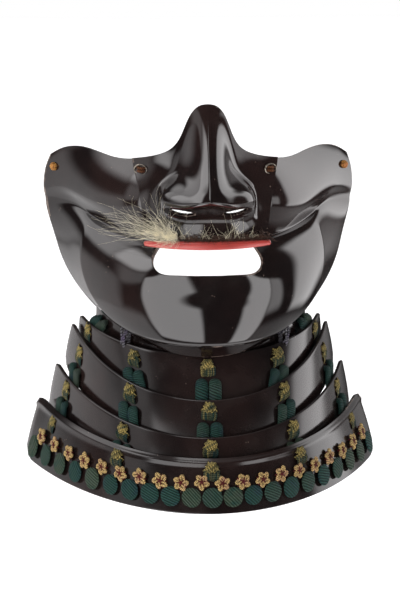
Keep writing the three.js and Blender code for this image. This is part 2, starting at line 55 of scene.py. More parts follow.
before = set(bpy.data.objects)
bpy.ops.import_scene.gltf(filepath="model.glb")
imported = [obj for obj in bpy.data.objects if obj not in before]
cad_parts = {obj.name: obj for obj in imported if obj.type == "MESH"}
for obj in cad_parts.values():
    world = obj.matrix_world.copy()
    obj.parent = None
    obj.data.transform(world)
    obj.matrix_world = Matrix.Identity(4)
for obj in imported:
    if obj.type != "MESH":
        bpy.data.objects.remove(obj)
CAD_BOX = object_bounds()

MM = 0.001
FRONT = Vector((0, -1, 0))
UP = Vector((0, 0, 1))
SIDES = {"left": -1, "right": 1}
FULL_TURN = 2 * math.pi
SAME_PLACE = 2e-6

# Sections of the face plate from the mouth side outwards to the free edge, in order from
# the top of the cheek, down past the jaw, to the chin. All shapes here are in millimetres.
FACE_SECTIONS = [
    [(24, -75, 56.4), (32.3, -70, 56), (40.7, -62, 54.4), (49.4, -53, 54),
     (58, -42, 56.5), (67.5, -31, 58.8), (78, -21.5, 57.2), (85.2, -15, 51.8)],
    [(23.8, -78, 49.7), (32.3, -75.5, 49.2), (41.2, -69, 47.2), (50.6, -58.5, 46),
     (60.4, -45.5, 46.8), (70.2, -33, 48), (79.5, -21.5, 47.5), (88.4, -11, 44)],
    [(23.6, -81, 40.1), (32, -79.5, 39.7), (41.4, -74, 38.3), (51.4, -63, 36.8),
     (61.5, -49, 37.4), (71, -35, 38.9), (80.1, -21.5, 39), (89.4, -9, 35)],
    [(23.5, -82.5, 31.3), (32.5, -81, 30.5), (41.9, -76, 29.1), (52, -65, 28),
     (62, -51, 29), (70.4, -36.5, 31.5), (79.5, -22, 34.2), (89.2, -8.3, 30)],
    [(24.3, -80, 23.8), (32.8, -77.5, 22.8), (41.7, -71, 21.8), (51.1, -60.5, 21.9),
     (59.6, -48.5, 24.1), (67.7, -36, 27.2), (76, -22.5, 31), (88, -8, 26)],
    [(24.2, -81, 12.2), (33.5, -76, 12.5), (42.6, -67.5, 13.4), (50.9, -57, 15.2),
     (58.5, -45.5, 17.8), (65.3, -36.5, 21.3), (73.4, -24, 26.2), (88, -8.2, 22.5)],
    [(27.5, -86, 7.2), (33.2, -82, 9.1), (42.8, -74.5, 9.6), (51.4, -65, 11.2),
     (59.5, -55, 13.5), (65.3, -46.5, 16), (74.5, -28, 18), (87, -9, 17)],
    [(32, -89.8, 1.5), (37.2, -87, -0.8), (46.5, -80, -0.5), (56.5, -69.5, 0.8),
     (65, -57.5, 2.4), (69.5, -50, 3.2), (75, -34, 2.8), (82.5, -14.5, 3.5)],
    [(28.3, -94.8, -5.5), (36.8, -92.4, -9.5), (47.5, -84, -13.5), (58, -72, -15),
     (65, -61, -13.5), (68.8, -54.5, -12.5), (73, -41, -11.5), (78.5, -25, -11)],
    [(18, -98.5, -5.8), (25.5, -97, -15), (35.5, -94, -25), (46.5, -85, -31),
     (54.5, -73.5, -32.5), (58.3, -67, -33), (60.5, -58, -33), (62, -46.5, -32.5)],
    [(9.5, -99, -6), (12.5, -99.2, -14), (18, -102, -26), (25, -99.5, -38),
     (30, -95.3, -43.7), (32, -92.6, -45), (32.6, -88.3, -47), (32.6, -83.8, -48.8)],
    [(0, -99, -6), (0, -99.3, -13.5), (0, -103, -23), (0, -105.5, -34),
     (0, -106.3, -43.5), (0, -105.3, -45.5), (0, -102, -49.8), (0, -98.8, -53.8)],
]
# The folds of the face plate: which row or column of the sections they follow, and how sharp.
VALLEY_ROW = 5
JAW_COLUMN = 5

# Rows of the nose piece from its top edge down to the lip, each from the ridge outwards.
NOSE_ROWS = [
    [(0, -93, 87.8), (4.8, -92, 87.4), (9, -90, 83), (12, -88, 76),
     (15, -85.5, 67.5), (20, -82, 61), (30, -77, 57.5), (40.5, -69.5, 55.8)],
    [(0, -96.5, 79), (4, -95, 78.5), (8, -91.5, 75), (11.5, -88, 69),
     (15, -85, 62), (21, -82, 56.5), (30, -77.5, 53.5), (40, -71, 52)],
    [(0, -102, 67), (4.5, -99.5, 66.5), (9, -94, 64), (12.5, -88.5, 59.5),
     (16.5, -85, 54.5), (22, -82.5, 51), (30, -79, 49), (39, -73.5, 48)],
    [(0, -108, 55.5), (5, -105, 55), (10, -97.5, 53), (14, -90, 51),
     (18, -85.5, 48.5), (23.5, -83.5, 45), (30, -81, 43.5), (38, -76.5, 42.5)],
    [(0, -113.5, 46.5), (5.5, -110.5, 46.3), (11.5, -102.5, 45.5), (17, -93.5, 46),
     (22, -87.5, 45), (25.5, -83.7, 42), (30, -82, 39), (37, -78.5, 37.5)],
    [(0, -117, 41.5), (6, -114.5, 41.3), (13, -107.5, 41), (20.5, -102, 41.3),
     (26, -95, 40.3), (27, -85, 37.5), (30.5, -82.8, 34.5), (36.2, -80, 33)],
    [(0, -119, 37.2), (6.5, -117, 36.5), (14, -110, 35), (21.5, -103.8, 35.2),
     (26.6, -97, 36), (27.3, -86, 32.5), (30.5, -84, 30), (35.5, -81.5, 28.5)],
    [(0, -114, 33.8), (6.5, -112.5, 33.2), (14, -107, 31.5), (21, -101, 31.5),
     (26, -95.5, 32), (27.3, -87, 28.5), (30, -85, 26), (34.8, -83, 24.5)],
    [(0, -102, 28.6), (6.5, -101.5, 28.2), (13.5, -99.5, 27), (20, -95.5, 27.2),
     (24.5, -91.5, 27.5), (27, -88.5, 24.5), (30, -86.5, 22.5), (34.3, -84.5, 21)],
    [(0, -97.5, 23.5), (6.5, -97, 23.2), (13, -95.8, 22.5), (19, -93.8, 22),
     (23.5, -91.5, 21.5), (27, -89.3, 20), (30, -87.5, 18.8), (34, -85.5, 17.5)],
    [(0, -98.3, 12.6), (7, -98.1, 12.6), (14, -97, 12.6), (20, -95.4, 12.5),
     (25, -93.5, 12.4), (28.5, -91.6, 12.3), (31.5, -89.8, 12.2), (34.5, -87.8, 12)],
]
WING_ROW = 6
WING_COLUMN = 5
# The nostril openings: their middle from the symmetry plane and up, and their half sizes.
NOSTRIL_ACROSS, NOSTRIL_UP = 14.5, 28.6
NOSTRIL_HALF_WIDTH, NOSTRIL_HALF_HEIGHT = 7.0, 1.6

# Curved plates. Each edge is half its width, the depth at the front and at the tips, the
# height at the front and at the tips, and the angle its curve turns through. The shares are
# how far down the plate its knots and its cord holes lie, in the middle and at the ends.
NECK = {"top": (60, -84.5, -32, -44, -33, 75), "foot": (60.5, -86.5, -30, -64, -50, 75),
        "knot": (0, 0), "hole": (0.6, 0.24)}
LAMES = [
    {"top": (69.4, -91, -24, -51.2, -39.2, 75), "foot": (71, -104, -22, -83, -68, 72),
     "knot": (0.22, 0.17), "hole": (0.46, 0.54)},
    {"top": (73.6, -106, -22, -73.6, -44, 75), "foot": (78.6, -114.5, -20, -101, -69, 70),
     "knot": (0.22, 0.34), "hole": (0.5, 0.66)},
    {"top": (83, -117.5, -20, -92, -67.4, 72), "foot": (88.5, -126.5, -18, -120, -98, 65),
     "knot": (0.22, 0.22), "hole": (0.48, 0.46)},
    {"top": (92.5, -126.3, -18, -101.8, -87.7, 65), "foot": (102, -137, -28, -130, -121, 57),
     "knot": (0.24, 0.24), "hole": (0.5, 0.5)},
]
COLUMNS = {"far_left": -0.85, "left": -0.445, "centre": 0, "right": 0.445, "far_right": 0.85}
OUTER_COLUMNS = 0.6
HEM_COUNT = 21
HEM_SPAN = 0.93
HEM_GREEN_UP = 8.5
HEM_GOLD_UP = 16.5
HEM_OFF = 0.35
# The lip's half width, and how far its tips lie behind its middle.
LIP_HALF = 35
LIP_SWEEP = 9.5
CORD_HALF_DEPTH = 1.45
# Hair along the lip: dark bristles, and clumps of pale hairs by where, how many and how tall.
BRISTLE_COUNT = 950
PALE_CLUMPS = ((-2, 10, 12), (13, 22, 16), (22, 6, 9), (-16, 12, 15))
LACQUER_WORN = (0.20, 0.15, 0.125)
FLOOR_DROP = 160
LIGHT_AIM = (0, -60, -20)
CAMERA_AIM = (-2.2, -60, -26)


def colour_property(name, description, default):
    return bpy.props.FloatVectorProperty(
        name=name, description=description, subtype="COLOR", default=default, min=0, max=1)


def length_property(name, description, usual, low, high):
    return bpy.props.FloatProperty(
        name=name, description=description, default=usual * MM, min=low * MM, max=high * MM,
        unit="LENGTH")


class GuardSizes(bpy.types.PropertyGroup):
    """Walls and cords of the guard."""

    plate_wall: length_property("Plate wall", "Thickness of the face plate", 2.0, 0.5, 4)
    nose_wall: length_property("Nose wall", "Thickness of the nose piece", 1.6, 0.5, 3)
    lame_wall: length_property("Lame wall", "Thickness of the throat lames", 2.0, 0.5, 4)
    cord_width: length_property("Cord width", "Width of one flat lacing cord", 7.2, 3, 9)
    hair_count: bpy.props.IntProperty(
        name="Tuft hairs", description="Hairs in the moustache tuft", default=210, min=20, max=1500)


class GuardColours(bpy.types.PropertyGroup):
    """Colours of the guard's finishes."""

    lacquer: colour_property(
        "Lacquer", "Body colour of the black lacquer", (0.0065, 0.0042, 0.0042))
    inner_lacquer: colour_property(
        "Inner lacquer", "Red-brown lacquer inside the plates", (0.16, 0.018, 0.012))
    lip: colour_property(
        "Lip", "Red lacquer of the lip", (0.50, 0.055, 0.045))
    silk: colour_property(
        "Silk", "Dark green silk of the lacing", (0.010, 0.036, 0.029))
    worn_silk: colour_property(
        "Worn silk", "Faded silk on the knots", (0.50, 0.38, 0.12))
    gold: colour_property(
        "Gold silk", "Pale gold silk of the hem knots", (0.60, 0.42, 0.17))
    hair: colour_property(
        "Hair", "Cream hair of the moustache", (0.86, 0.79, 0.58))


class GuardStage(bpy.types.PropertyGroup):
    """Camera and studio."""

    azimuth: bpy.props.FloatProperty(
        name="Azimuth", description="Camera angle round the guard, from straight in front",
        default=math.radians(-3.5), subtype="ANGLE")
    elevation: bpy.props.FloatProperty(
        name="Elevation", description="Camera angle above the horizon",
        default=math.radians(10), subtype="ANGLE")
    distance: bpy.props.FloatProperty(
        name="Distance", description="Camera to the middle of the guard", default=1.5, unit="LENGTH")
    lens: bpy.props.FloatProperty(
        name="Lens", description="Focal length", default=160, unit="CAMERA")
    key_radiance: bpy.props.FloatProperty(
        name="Key brightness", description="Brightness of the key light", default=3.6, min=0)


# ---------------------------------------------------------------- modelling helpers


def deselect_all():
    if bpy.context.object and bpy.context.object.mode != "OBJECT":
        bpy.ops.object.mode_set(mode="OBJECT")
    bpy.ops.object.select_all(action="DESELECT")


def make_active(piece):
    deselect_all()
    piece.select_set(True)
    bpy.context.view_layer.objects.active = piece


def apply_modifiers(piece):
    make_active(piece)
    for modifier in list(piece.modifiers):
        bpy.ops.object.modifier_apply(modifier=modifier.name)


def rename(piece, name):
    piece.name = name
    piece.data.name = name


def tidy_mesh(piece):
    """Merges doubled corners and turns the faces outwards."""
    make_active(piece)
    bpy.ops.object.mode_set(mode="EDIT")
    bpy.ops.mesh.select_all(action="SELECT")
    bpy.ops.mesh.remove_doubles(threshold=SAME_PLACE)
    bpy.ops.mesh.normals_make_consistent(inside=False)
    bpy.ops.object.mode_set(mode="OBJECT")


def patch(name, columns, rows, place):
    """A grid of columns by rows cells, whose corner (u, v) from 0 to 1 lies at place(u, v)."""
    deselect_all()
    bpy.ops.mesh.primitive_grid_add(x_subdivisions=columns, y_subdivisions=rows, size=2, calc_uvs=True)
    piece = bpy.context.object
    rename(piece, name)
    for corner in piece.data.vertices:
        u = (corner.co.x + 1) / 2
        v = (corner.co.y + 1) / 2
        corner.co = Vector(place(u, v)) * MM
    return piece


def net_patch(name, net):
    """A grid whose corners are the points of a net of rows."""
    columns = len(net[0]) - 1
    rows = len(net) - 1
    return patch(name, columns, rows, lambda u, v: net[rows - round(v * rows)][round(u * columns)])


def mirrored_plate(name, net):
    """Both halves of a plate, from a net of its right half."""
    piece = net_patch(name, net)
    mirror = piece.modifiers.new("Mirror", "MIRROR")
    mirror.merge_threshold = 1e-6
    apply_modifiers(piece)
    face_outwards(piece, FRONT)
    return piece


def crease_along(piece, line, sharpness):
    """Sharpens the edges of a cage that run along a line of its points, by a value per point."""
    make_active(piece)
    attributes = piece.data.attributes
    crease = attributes.get("crease_edge") or attributes.new("crease_edge", "FLOAT", "EDGE")
    places = [Vector((abs(x), y, z)) * MM for x, y, z in line]

    def nearest(corner):
        spot = Vector((abs(corner.x), corner.y, corner.z))
        gaps = [(spot - place).length for place in places]
        return gaps.index(min(gaps)) if min(gaps) < 1e-6 else None

    found = [nearest(corner.co) for corner in piece.data.vertices]
    for edge in piece.data.edges:
        a, b = (found[i] for i in edge.vertices)
        if a is not None and b is not None and abs(a - b) <= 1:
            crease.data[edge.index].value = sharpness(min(a, b))


def subdivide(piece, levels):
    modifier = piece.modifiers.new("Subdivision", "SUBSURF")
    modifier.levels = modifier.render_levels = levels
    modifier.boundary_smooth = "PRESERVE_CORNERS"
    apply_modifiers(piece)


def give_wall(piece, wall, rim=0.75 * MM):
    """Thickens an open plate inwards, rounds its rim and marks its inner face as slot 1."""
    solid = piece.modifiers.new("Wall", "SOLIDIFY")
    solid.thickness = wall
    solid.offset = -1
    solid.use_even_offset = False
    solid.material_offset = 1
    solid.material_offset_rim = 2
    bevel = piece.modifiers.new("Rim", "BEVEL")
    bevel.width = rim
    bevel.segments = 3
    bevel.limit_method = "ANGLE"
    bevel.angle_limit = math.radians(50)
    bevel.use_clamp_overlap = True
    bevel.material = 2
    apply_modifiers(piece)


def face_outwards(piece, towards):
    """Turns an open plate's faces so that most look the way of the given direction."""
    tidy_mesh(piece)
    if sum((f.normal.dot(towards) * f.area for f in piece.data.polygons)) < 0:
        bpy.ops.object.mode_set(mode="EDIT")
        bpy.ops.mesh.flip_normals()
        bpy.ops.object.mode_set(mode="OBJECT")


def select_faces(piece, wanted):
    """Leaves the piece in edit mode with only the wanted faces selected."""
    make_active(piece)
    bpy.ops.object.mode_set(mode="EDIT")
    bpy.ops.mesh.select_mode(type="FACE")
    bpy.ops.mesh.select_all(action="DESELECT")
    bpy.ops.object.mode_set(mode="OBJECT")
    for face in piece.data.polygons:
        face.select = wanted(face)
    bpy.ops.object.mode_set(mode="EDIT")


def smooth(piece, angle=40):
    make_active(piece)
    bpy.ops.object.shade_smooth_by_angle(angle=math.radians(angle))


def join(name, pieces):
    deselect_all()
    for piece in pieces:
        piece.select_set(True)
    bpy.context.view_layer.objects.active = pieces[0]
    if len(pieces) > 1:
        bpy.ops.object.join()
    joined = bpy.context.object
    rename(joined, name)
    return joined


def copy_at(template, matrix, name):
    """A copy of a small piece, with its own mesh, carried to a place."""
    piece = template.copy()
    piece.data = template.data.copy()
    rename(piece, name)
    piece.data.transform(matrix)
    bpy.context.scene.collection.objects.link(piece)
    return piece


def discard(pieces):
    deselect_all()
    for piece in pieces:
        piece.select_set(True)
    bpy.ops.object.delete()


def finish_piece(piece, slot, *nodes):
    """Puts a finished piece on the frame in place of its CAD nodes."""
    if nodes:
        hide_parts(*nodes)
    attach(piece, "root")


def dress_plate(piece, outer="Black lacquer"):
    dress(piece, finish(outer), finish("Inner lacquer"), finish("Worn rim and painted highlight"))


def dress(piece, *materials):
    piece.data.materials.clear()
    for material in materials:
        piece.data.materials.append(material)


def finish_cord(piece, material, slot, *nodes):
    """Smooths a piece of cord, gives it its material and puts it on the frame."""
    smooth(piece, 180)
    dress(piece, finish(material))
    finish_piece(piece, slot, *nodes)


def mark_wear(piece, value):
    """Stores a wear on every corner of a piece, for its material to read."""
    attribute = piece.data.attributes.new("wear", "FLOAT", "POINT")
    attribute.data.foreach_set("value", [value] * len(piece.data.vertices))


def spline(points):
    """A smooth curve through the bends of a few points, as a function of 0 to 1."""
    points = [Vector(p) for p in points]
    ext = [2 * points[0] - points[1], *points, 2 * points[-1] - points[-2]]
    spans = len(points) - 1

    def at(v):
        i = min(int(v * spans), spans - 1)
        t = v * spans - i
        s = 1 - t
        a, b, c, d = ext[i:i + 4]
        return (s**3 * a + (3 * t**3 - 6 * t * t + 4) * b
                + (-3 * t**3 + 3 * t * t + 3 * t + 1) * c + t**3 * d) / 6

    return at


def sweep(name, path, across, half_width, half_depth, around=12, along=24, blunt=0.04):
    """A cord along path(v), its width held towards across(v), closed and rounded at its ends."""

    def place(u, v):
        step = 0.5 / along
        forward = (path(min(v + step, 1)) - path(max(v - step, 0))).normalized()
        side = (across(v) - forward * across(v).dot(forward)).normalized()
        up = forward.cross(side)
        near_end = min(v, 1 - v) / blunt
        swell = math.sqrt(max(0.0, 1 - (1 - min(near_end, 1)) ** 2))
        turn = FULL_TURN * u
        return (path(v) + side * (half_width(v) * swell * math.cos(turn))
                + up * (half_depth(v) * swell * math.sin(turn)))

    piece = patch(name, around, along, place)
    tidy_mesh(piece)
    return piece


# ---------------------------------------------------------------- curved plates


def edge_point(edge, u):
    width, front, rear, high, tip, angle = edge
    turn = math.radians(angle)
    k = (1 - math.cos(turn * u)) / (1 - math.cos(turn))
    x = width * math.sin(turn * u) / math.sin(turn)
    return Vector((x, front + (rear - front) * k, high + (tip - high) * k))


def plate_point(plate, u, s):
    return edge_point(plate["top"], u).lerp(edge_point(plate["foot"], u), s)


def plate_frame(plate, u, s):
    """Directions across, down and out of a curved plate."""
    step = 0.01
    across = (plate_point(plate, u + step, s) - plate_point(plate, u - step, s)).normalized()
    down = (plate_point(plate, u, s + step) - plate_point(plate, u, s - step)).normalized()
    return across, down, down.cross(across).normalized()


def off_plate(plate, u, s, off):
    return plate_point(plate, u, s) + plate_frame(plate, u, s)[2] * off


def curved_plate(name, plate, corner, profile, wall, columns=72, rows=16):
    """A lame: u runs round it, s down it; profile(s) is how far it stands out."""

    def place(u, v):
        around = 2 * u - 1
        near = max(0.0, (abs(around) - (1 - corner)) / corner)
        drop = 1 - math.sqrt(max(0.0, 1 - near * near))
        s = 1 - v
        return off_plate(plate, around, s - 0.16 * drop * s * s + 0.06 * drop * (1 - s), profile(s))

    piece = patch(name, columns, rows, place)
    face_outwards(piece, FRONT)
    give_wall(piece, wall)
    smooth(piece)
    return piece


# ---------------------------------------------------------------- material helpers


def new_group(name, inputs, outputs):
    tree = bpy.data.node_groups.new(name, "ShaderNodeTree")
    for label, kind, value in inputs:
        socket = tree.interface.new_socket(label, in_out="INPUT", socket_type=kind)
        if value is not None:
            socket.default_value = value
    for label, kind in outputs:
        tree.interface.new_socket(label, in_out="OUTPUT", socket_type=kind)
    start = tree.nodes.new("NodeGroupInput")
    end = tree.nodes.new("NodeGroupOutput")
    return tree, start, end


def add_node(tree, kind, links=None, **values):
    """A node with plain settings and input values; links maps an input to another output."""
    node = tree.nodes.new(kind)
    for key, value in values.items():
        setattr(node, key, value)
    for key, value in (links or {}).items():
        socket = node.inputs[key]
        if isinstance(value, bpy.types.NodeSocket):
            tree.links.new(value, socket)
        else:
            socket.default_value = value
    return node


def math_node(tree, operation, a, b=0.0, c=0.0, clamp=False):
    node = add_node(tree, "ShaderNodeMath", {0: a, 1: b, 2: c}, operation=operation, use_clamp=clamp)
    return node.outputs[0]


def object_place(tree):
    return add_node(tree, "ShaderNodeTexCoord").outputs["Object"]


def end_group(tree, end, **values):
    """Joins values to the outputs of a node group."""
    for label, value in values.items():
        tree.links.new(value, end.inputs[label])
    return tree


def ramp(tree, value, low, high):
    """Maps low..high to 0..1, smoothly."""
    node = add_node(tree, "ShaderNodeMapRange", {"Value": value, "From Min": low, "From Max": high},
                    interpolation_type="SMOOTHSTEP")
    return node.outputs["Result"]


def blend_colour(tree, factor, a, b, mode="MIX"):
    node = add_node(tree, "ShaderNodeMix", {"Factor": factor}, data_type="RGBA", blend_type=mode)
    for index, value in ((6, a), (7, b)):
        if isinstance(value, bpy.types.NodeSocket):
            tree.links.new(value, node.inputs[index])
        else:
            node.inputs[index].default_value = value
    return node.outputs[2]


def noise(tree, vector, scale, detail=3, roughness=0.5):
    node = add_node(tree, "ShaderNodeTexNoise",
                    {"Vector": vector, "Scale": scale, "Detail": detail, "Roughness": roughness})
    return node.outputs["Fac"]


def rgba(colour, factor=1.0):
    return (*[min(1.0, c * factor) for c in colour], 1.0)


def age_group():
    """Wear along edges, pits, dust in hollows and a slight waviness, for any lacquer."""
    tree, start, end = new_group(
        "Lacquer age",
        [("Edge wear", "NodeSocketFloat", 1.0), ("Dust", "NodeSocketFloat", 1.0)],
        [("Edge", "NodeSocketFloat"), ("Dust", "NodeSocketFloat"), ("Smudge", "NodeSocketFloat"),
         ("Pits", "NodeSocketFloat"), ("Height", "NodeSocketFloat")])
    place = object_place(tree)
    sharp = add_node(tree, "ShaderNodeNewGeometry").outputs["Pointiness"]
    ragged = noise(tree, place, 260, 5, 0.65)
    edge = math_node(tree, "MULTIPLY", ramp(tree, sharp, 0.535, 0.60), ramp(tree, ragged, 0.36, 0.62))
    edge = math_node(tree, "MULTIPLY", edge, start.outputs["Edge wear"], clamp=True)
    hollow = ramp(tree, sharp, 0.495, 0.46)
    film = ramp(tree, noise(tree, place, 46, 6, 0.6), 0.42, 0.74)
    dust = math_node(tree, "MULTIPLY_ADD", film, 0.35, math_node(tree, "MULTIPLY", hollow, 0.6))
    dust = math_node(tree, "MULTIPLY", dust, start.outputs["Dust"], clamp=True)
    smudge = noise(tree, place, 17, 4, 0.55)
    cells = add_node(tree, "ShaderNodeTexVoronoi", {"Vector": place, "Scale": 330.0}).outputs["Distance"]
    gate = ramp(tree, noise(tree, place, 90, 2), 0.60, 0.66)
    pits = math_node(tree, "MULTIPLY", ramp(tree, cells, 0.16, 0.06), gate)
    wave = math_node(tree, "MULTIPLY", noise(tree, place, 34, 2, 0.45), 0.9)
    grain = math_node(tree, "MULTIPLY", noise(tree, place, 900, 3, 0.6), 0.018)
    height = math_node(tree, "ADD", wave, grain)
    height = math_node(tree, "SUBTRACT", height, math_node(tree, "MULTIPLY", pits, 0.05))
    return end_group(tree, end, Edge=edge, Dust=dust, Smudge=smudge, Pits=pits, Height=height)


def braid_group():
    """A flat braid in the piece's own UV map: slanted strands that meet in a chevron."""
    tree, start, end = new_group(
        "Silk braid",
        [("Strands", "NodeSocketFloat", 8.0), ("Slant", "NodeSocketFloat", 1.0),
         ("Lanes", "NodeSocketFloat", 2.0)],
        [("Strand", "NodeSocketFloat"), ("Fibre", "NodeSocketFloat"), ("Height", "NodeSocketFloat")])
    uv = add_node(tree, "ShaderNodeUVMap", uv_map="UVMap").outputs["UV"]
    parts = add_node(tree, "ShaderNodeSeparateXYZ", {0: uv})
    lanes = math_node(tree, "MULTIPLY", parts.outputs[0], start.outputs["Lanes"])
    fold = math_node(tree, "PINGPONG", lanes, 1.0)
    run = math_node(tree, "MULTIPLY", parts.outputs[1], start.outputs["Strands"])
    phase = math_node(tree, "ADD", run, math_node(tree, "MULTIPLY", fold, start.outputs["Slant"]))
    wave = math_node(tree, "SINE", math_node(tree, "MULTIPLY", phase, FULL_TURN))
    strand = math_node(tree, "MULTIPLY_ADD", wave, 0.5, 0.5)
    place = object_place(tree)
    fibre = noise(tree, place, 2600, 2, 0.6)
    height = math_node(tree, "MULTIPLY_ADD", fibre, 0.35, math_node(tree, "POWER", strand, 0.6))
    return end_group(tree, end, Strand=strand, Fibre=fibre, Height=height)


def shader(name):
    material = bpy.data.materials.new(name)
    material.use_nodes = True
    tree = material.node_tree
    return material, tree, tree.nodes["Principled BSDF"]


def bumped(tree, principled, height, strength, distance):
    bump = add_node(tree, "ShaderNodeBump",
                    {"Height": height, "Strength": strength, "Distance": distance})
    tree.links.new(bump.outputs["Normal"], principled.inputs["Normal"])


def lacquer_material(name, colour, warm, worn, rough, wear, dust, sheen=0.5):
    """Polished lacquer with worn edges, a little dust and hand-made waviness."""
    material, tree, principled = shader(name)
    age = add_node(tree, "ShaderNodeGroup", node_tree=bpy.data.node_groups["Lacquer age"])
    age.inputs["Edge wear"].default_value = wear
    age.inputs["Dust"].default_value = dust
    out = age.outputs
    body = blend_colour(tree, ramp(tree, out["Smudge"], 0.35, 0.7), rgba(colour), rgba(warm))
    body = blend_colour(tree, math_node(tree, "MULTIPLY", out["Dust"], 0.05), body, (0.30, 0.27, 0.25, 1))
    body = blend_colour(tree, out["Pits"], body, rgba(worn, 0.6))
    body = blend_colour(tree, out["Edge"], body, rgba(worn))
    tree.links.new(body, principled.inputs["Base Color"])
    gloss = math_node(tree, "MULTIPLY_ADD", ramp(tree, out["Smudge"], 0.4, 0.75), 0.035, rough)
    gloss = math_node(tree, "ADD", gloss, math_node(tree, "MULTIPLY", out["Dust"], 0.05))
    gloss = math_node(tree, "ADD", gloss, math_node(tree, "MULTIPLY", out["Edge"], 0.30), clamp=True)
    tree.links.new(gloss, principled.inputs["Roughness"])
    principled.inputs["IOR"].default_value = 1.55
    principled.inputs["Specular IOR Level"].default_value = sheen
    bumped(tree, principled, out["Height"], 0.35, 0.00035)
    return material


def rim_wear_and_highlight_material(name, colour, worn):
    """Lacquer rubbed through to brown-grey in patches along a rim: partly real wear, partly a painted
    highlight along the edges.
    """
    material, tree, principled = shader(name)
    age = add_node(tree, "ShaderNodeGroup", node_tree=bpy.data.node_groups["Lacquer age"])
    place = object_place(tree)
    rubbed_and_highlight = ramp(tree, noise(tree, place, 130, 5, 0.65), 0.34, 0.60)
    fine = noise(tree, place, 900, 3, 0.6)
    # painted highlight: the lighter brown-grey on the rim stands partly for worn lacquer and partly for the
    # thin highlight along the edges
    bare_and_highlight = blend_colour(tree, ramp(tree, fine, 0.35, 0.65), rgba(worn, 0.55), rgba(worn, 1.2))
    tree.links.new(blend_colour(tree, rubbed_and_highlight, rgba(colour), bare_and_highlight), principled.inputs["Base Color"])
    rough = math_node(tree, "MULTIPLY_ADD", rubbed_and_highlight, 0.32, 0.12)
    tree.links.new(rough, principled.inputs["Roughness"])
    bumped(tree, principled, age.outputs["Height"], 0.4, 0.0004)
    return material


def silk_material(name, colour, worn, lift, strands=8.0, slant=1.0, lanes=2.0, wear_mark=True,
                  relief=0.8, groove_shade=0.15):
    """Braided silk with painted shade in the gaps between strands, fading where it is marked as worn."""
    material, tree, principled = shader(name)
    braid = add_node(tree, "ShaderNodeGroup", node_tree=bpy.data.node_groups["Silk braid"])
    braid.inputs["Strands"].default_value = strands
    braid.inputs["Slant"].default_value = slant
    braid.inputs["Lanes"].default_value = lanes
    out = braid.outputs
    place = object_place(tree)
    patchy = noise(tree, place, 210, 4, 0.6)
    tint = (colour[0], colour[1] * 0.8, colour[2] * 1.25)
    body = blend_colour(tree, ramp(tree, patchy, 0.45, 0.75), rgba(colour, lift), rgba(tint, lift))
    if wear_mark:
        marked = add_node(tree, "ShaderNodeAttribute", attribute_name="wear").outputs["Fac"]
        faded = math_node(tree, "MULTIPLY", marked, ramp(tree, patchy, 0.28, 0.52), clamp=True)
        body = blend_colour(tree, faded, body, rgba(worn))
    # painted shade: the silk's colour is darkened in the grooves between braid strands, by the given
    # fraction at their deepest
    ridge = ramp(tree, out["Strand"], 0.05, 0.7)
    painted_groove_shade = blend_colour(tree, ridge, rgba((1, 1, 1), groove_shade), (1, 1, 1, 1))
    body = blend_colour(tree, 1.0, body, painted_groove_shade, "MULTIPLY")
    fibre = ramp(tree, out["Fibre"], 0.3, 0.7)
    shade = blend_colour(tree, fibre, (0.72, 0.72, 0.72, 1), (1.15, 1.15, 1.15, 1))
    body = blend_colour(tree, 1.0, body, shade, "MULTIPLY")
    tree.links.new(body, principled.inputs["Base Color"])
    principled.inputs["Roughness"].default_value = 0.62
    principled.inputs["Specular IOR Level"].default_value = 0.18
    bumped(tree, principled, out["Height"], relief, 0.0004)
    return material


def hair_material(name, colour):
    material, tree, principled = shader(name)
    place = object_place(tree)
    vary = noise(tree, place, 320, 3, 0.6)
    tint = blend_colour(tree, ramp(tree, vary, 0.3, 0.7), rgba(colour, 0.6), rgba(colour, 1.15))
    tree.links.new(tint, principled.inputs["Base Color"])
    principled.inputs["Roughness"].default_value = 0.45
    bumped(tree, principled, noise(tree, place, 4000, 2), 0.3, 0.0001)
    return material


def metal_material(name, colour):
    """Dulled metal, darker and rougher in random patches."""
    material, tree, principled = shader(name)
    place = object_place(tree)
    dull = ramp(tree, noise(tree, place, 700, 4, 0.6), 0.35, 0.65)
    body = blend_colour(tree, dull, rgba(colour), rgba(colour, 0.4))
    tree.links.new(body, principled.inputs["Base Color"])
    rough = math_node(tree, "MULTIPLY_ADD", dull, 0.3, 0.25)
    tree.links.new(rough, principled.inputs["Roughness"])
    principled.inputs["Metallic"].default_value = 0.9
    return material


def finish(name):
    return bpy.data.materials[name]


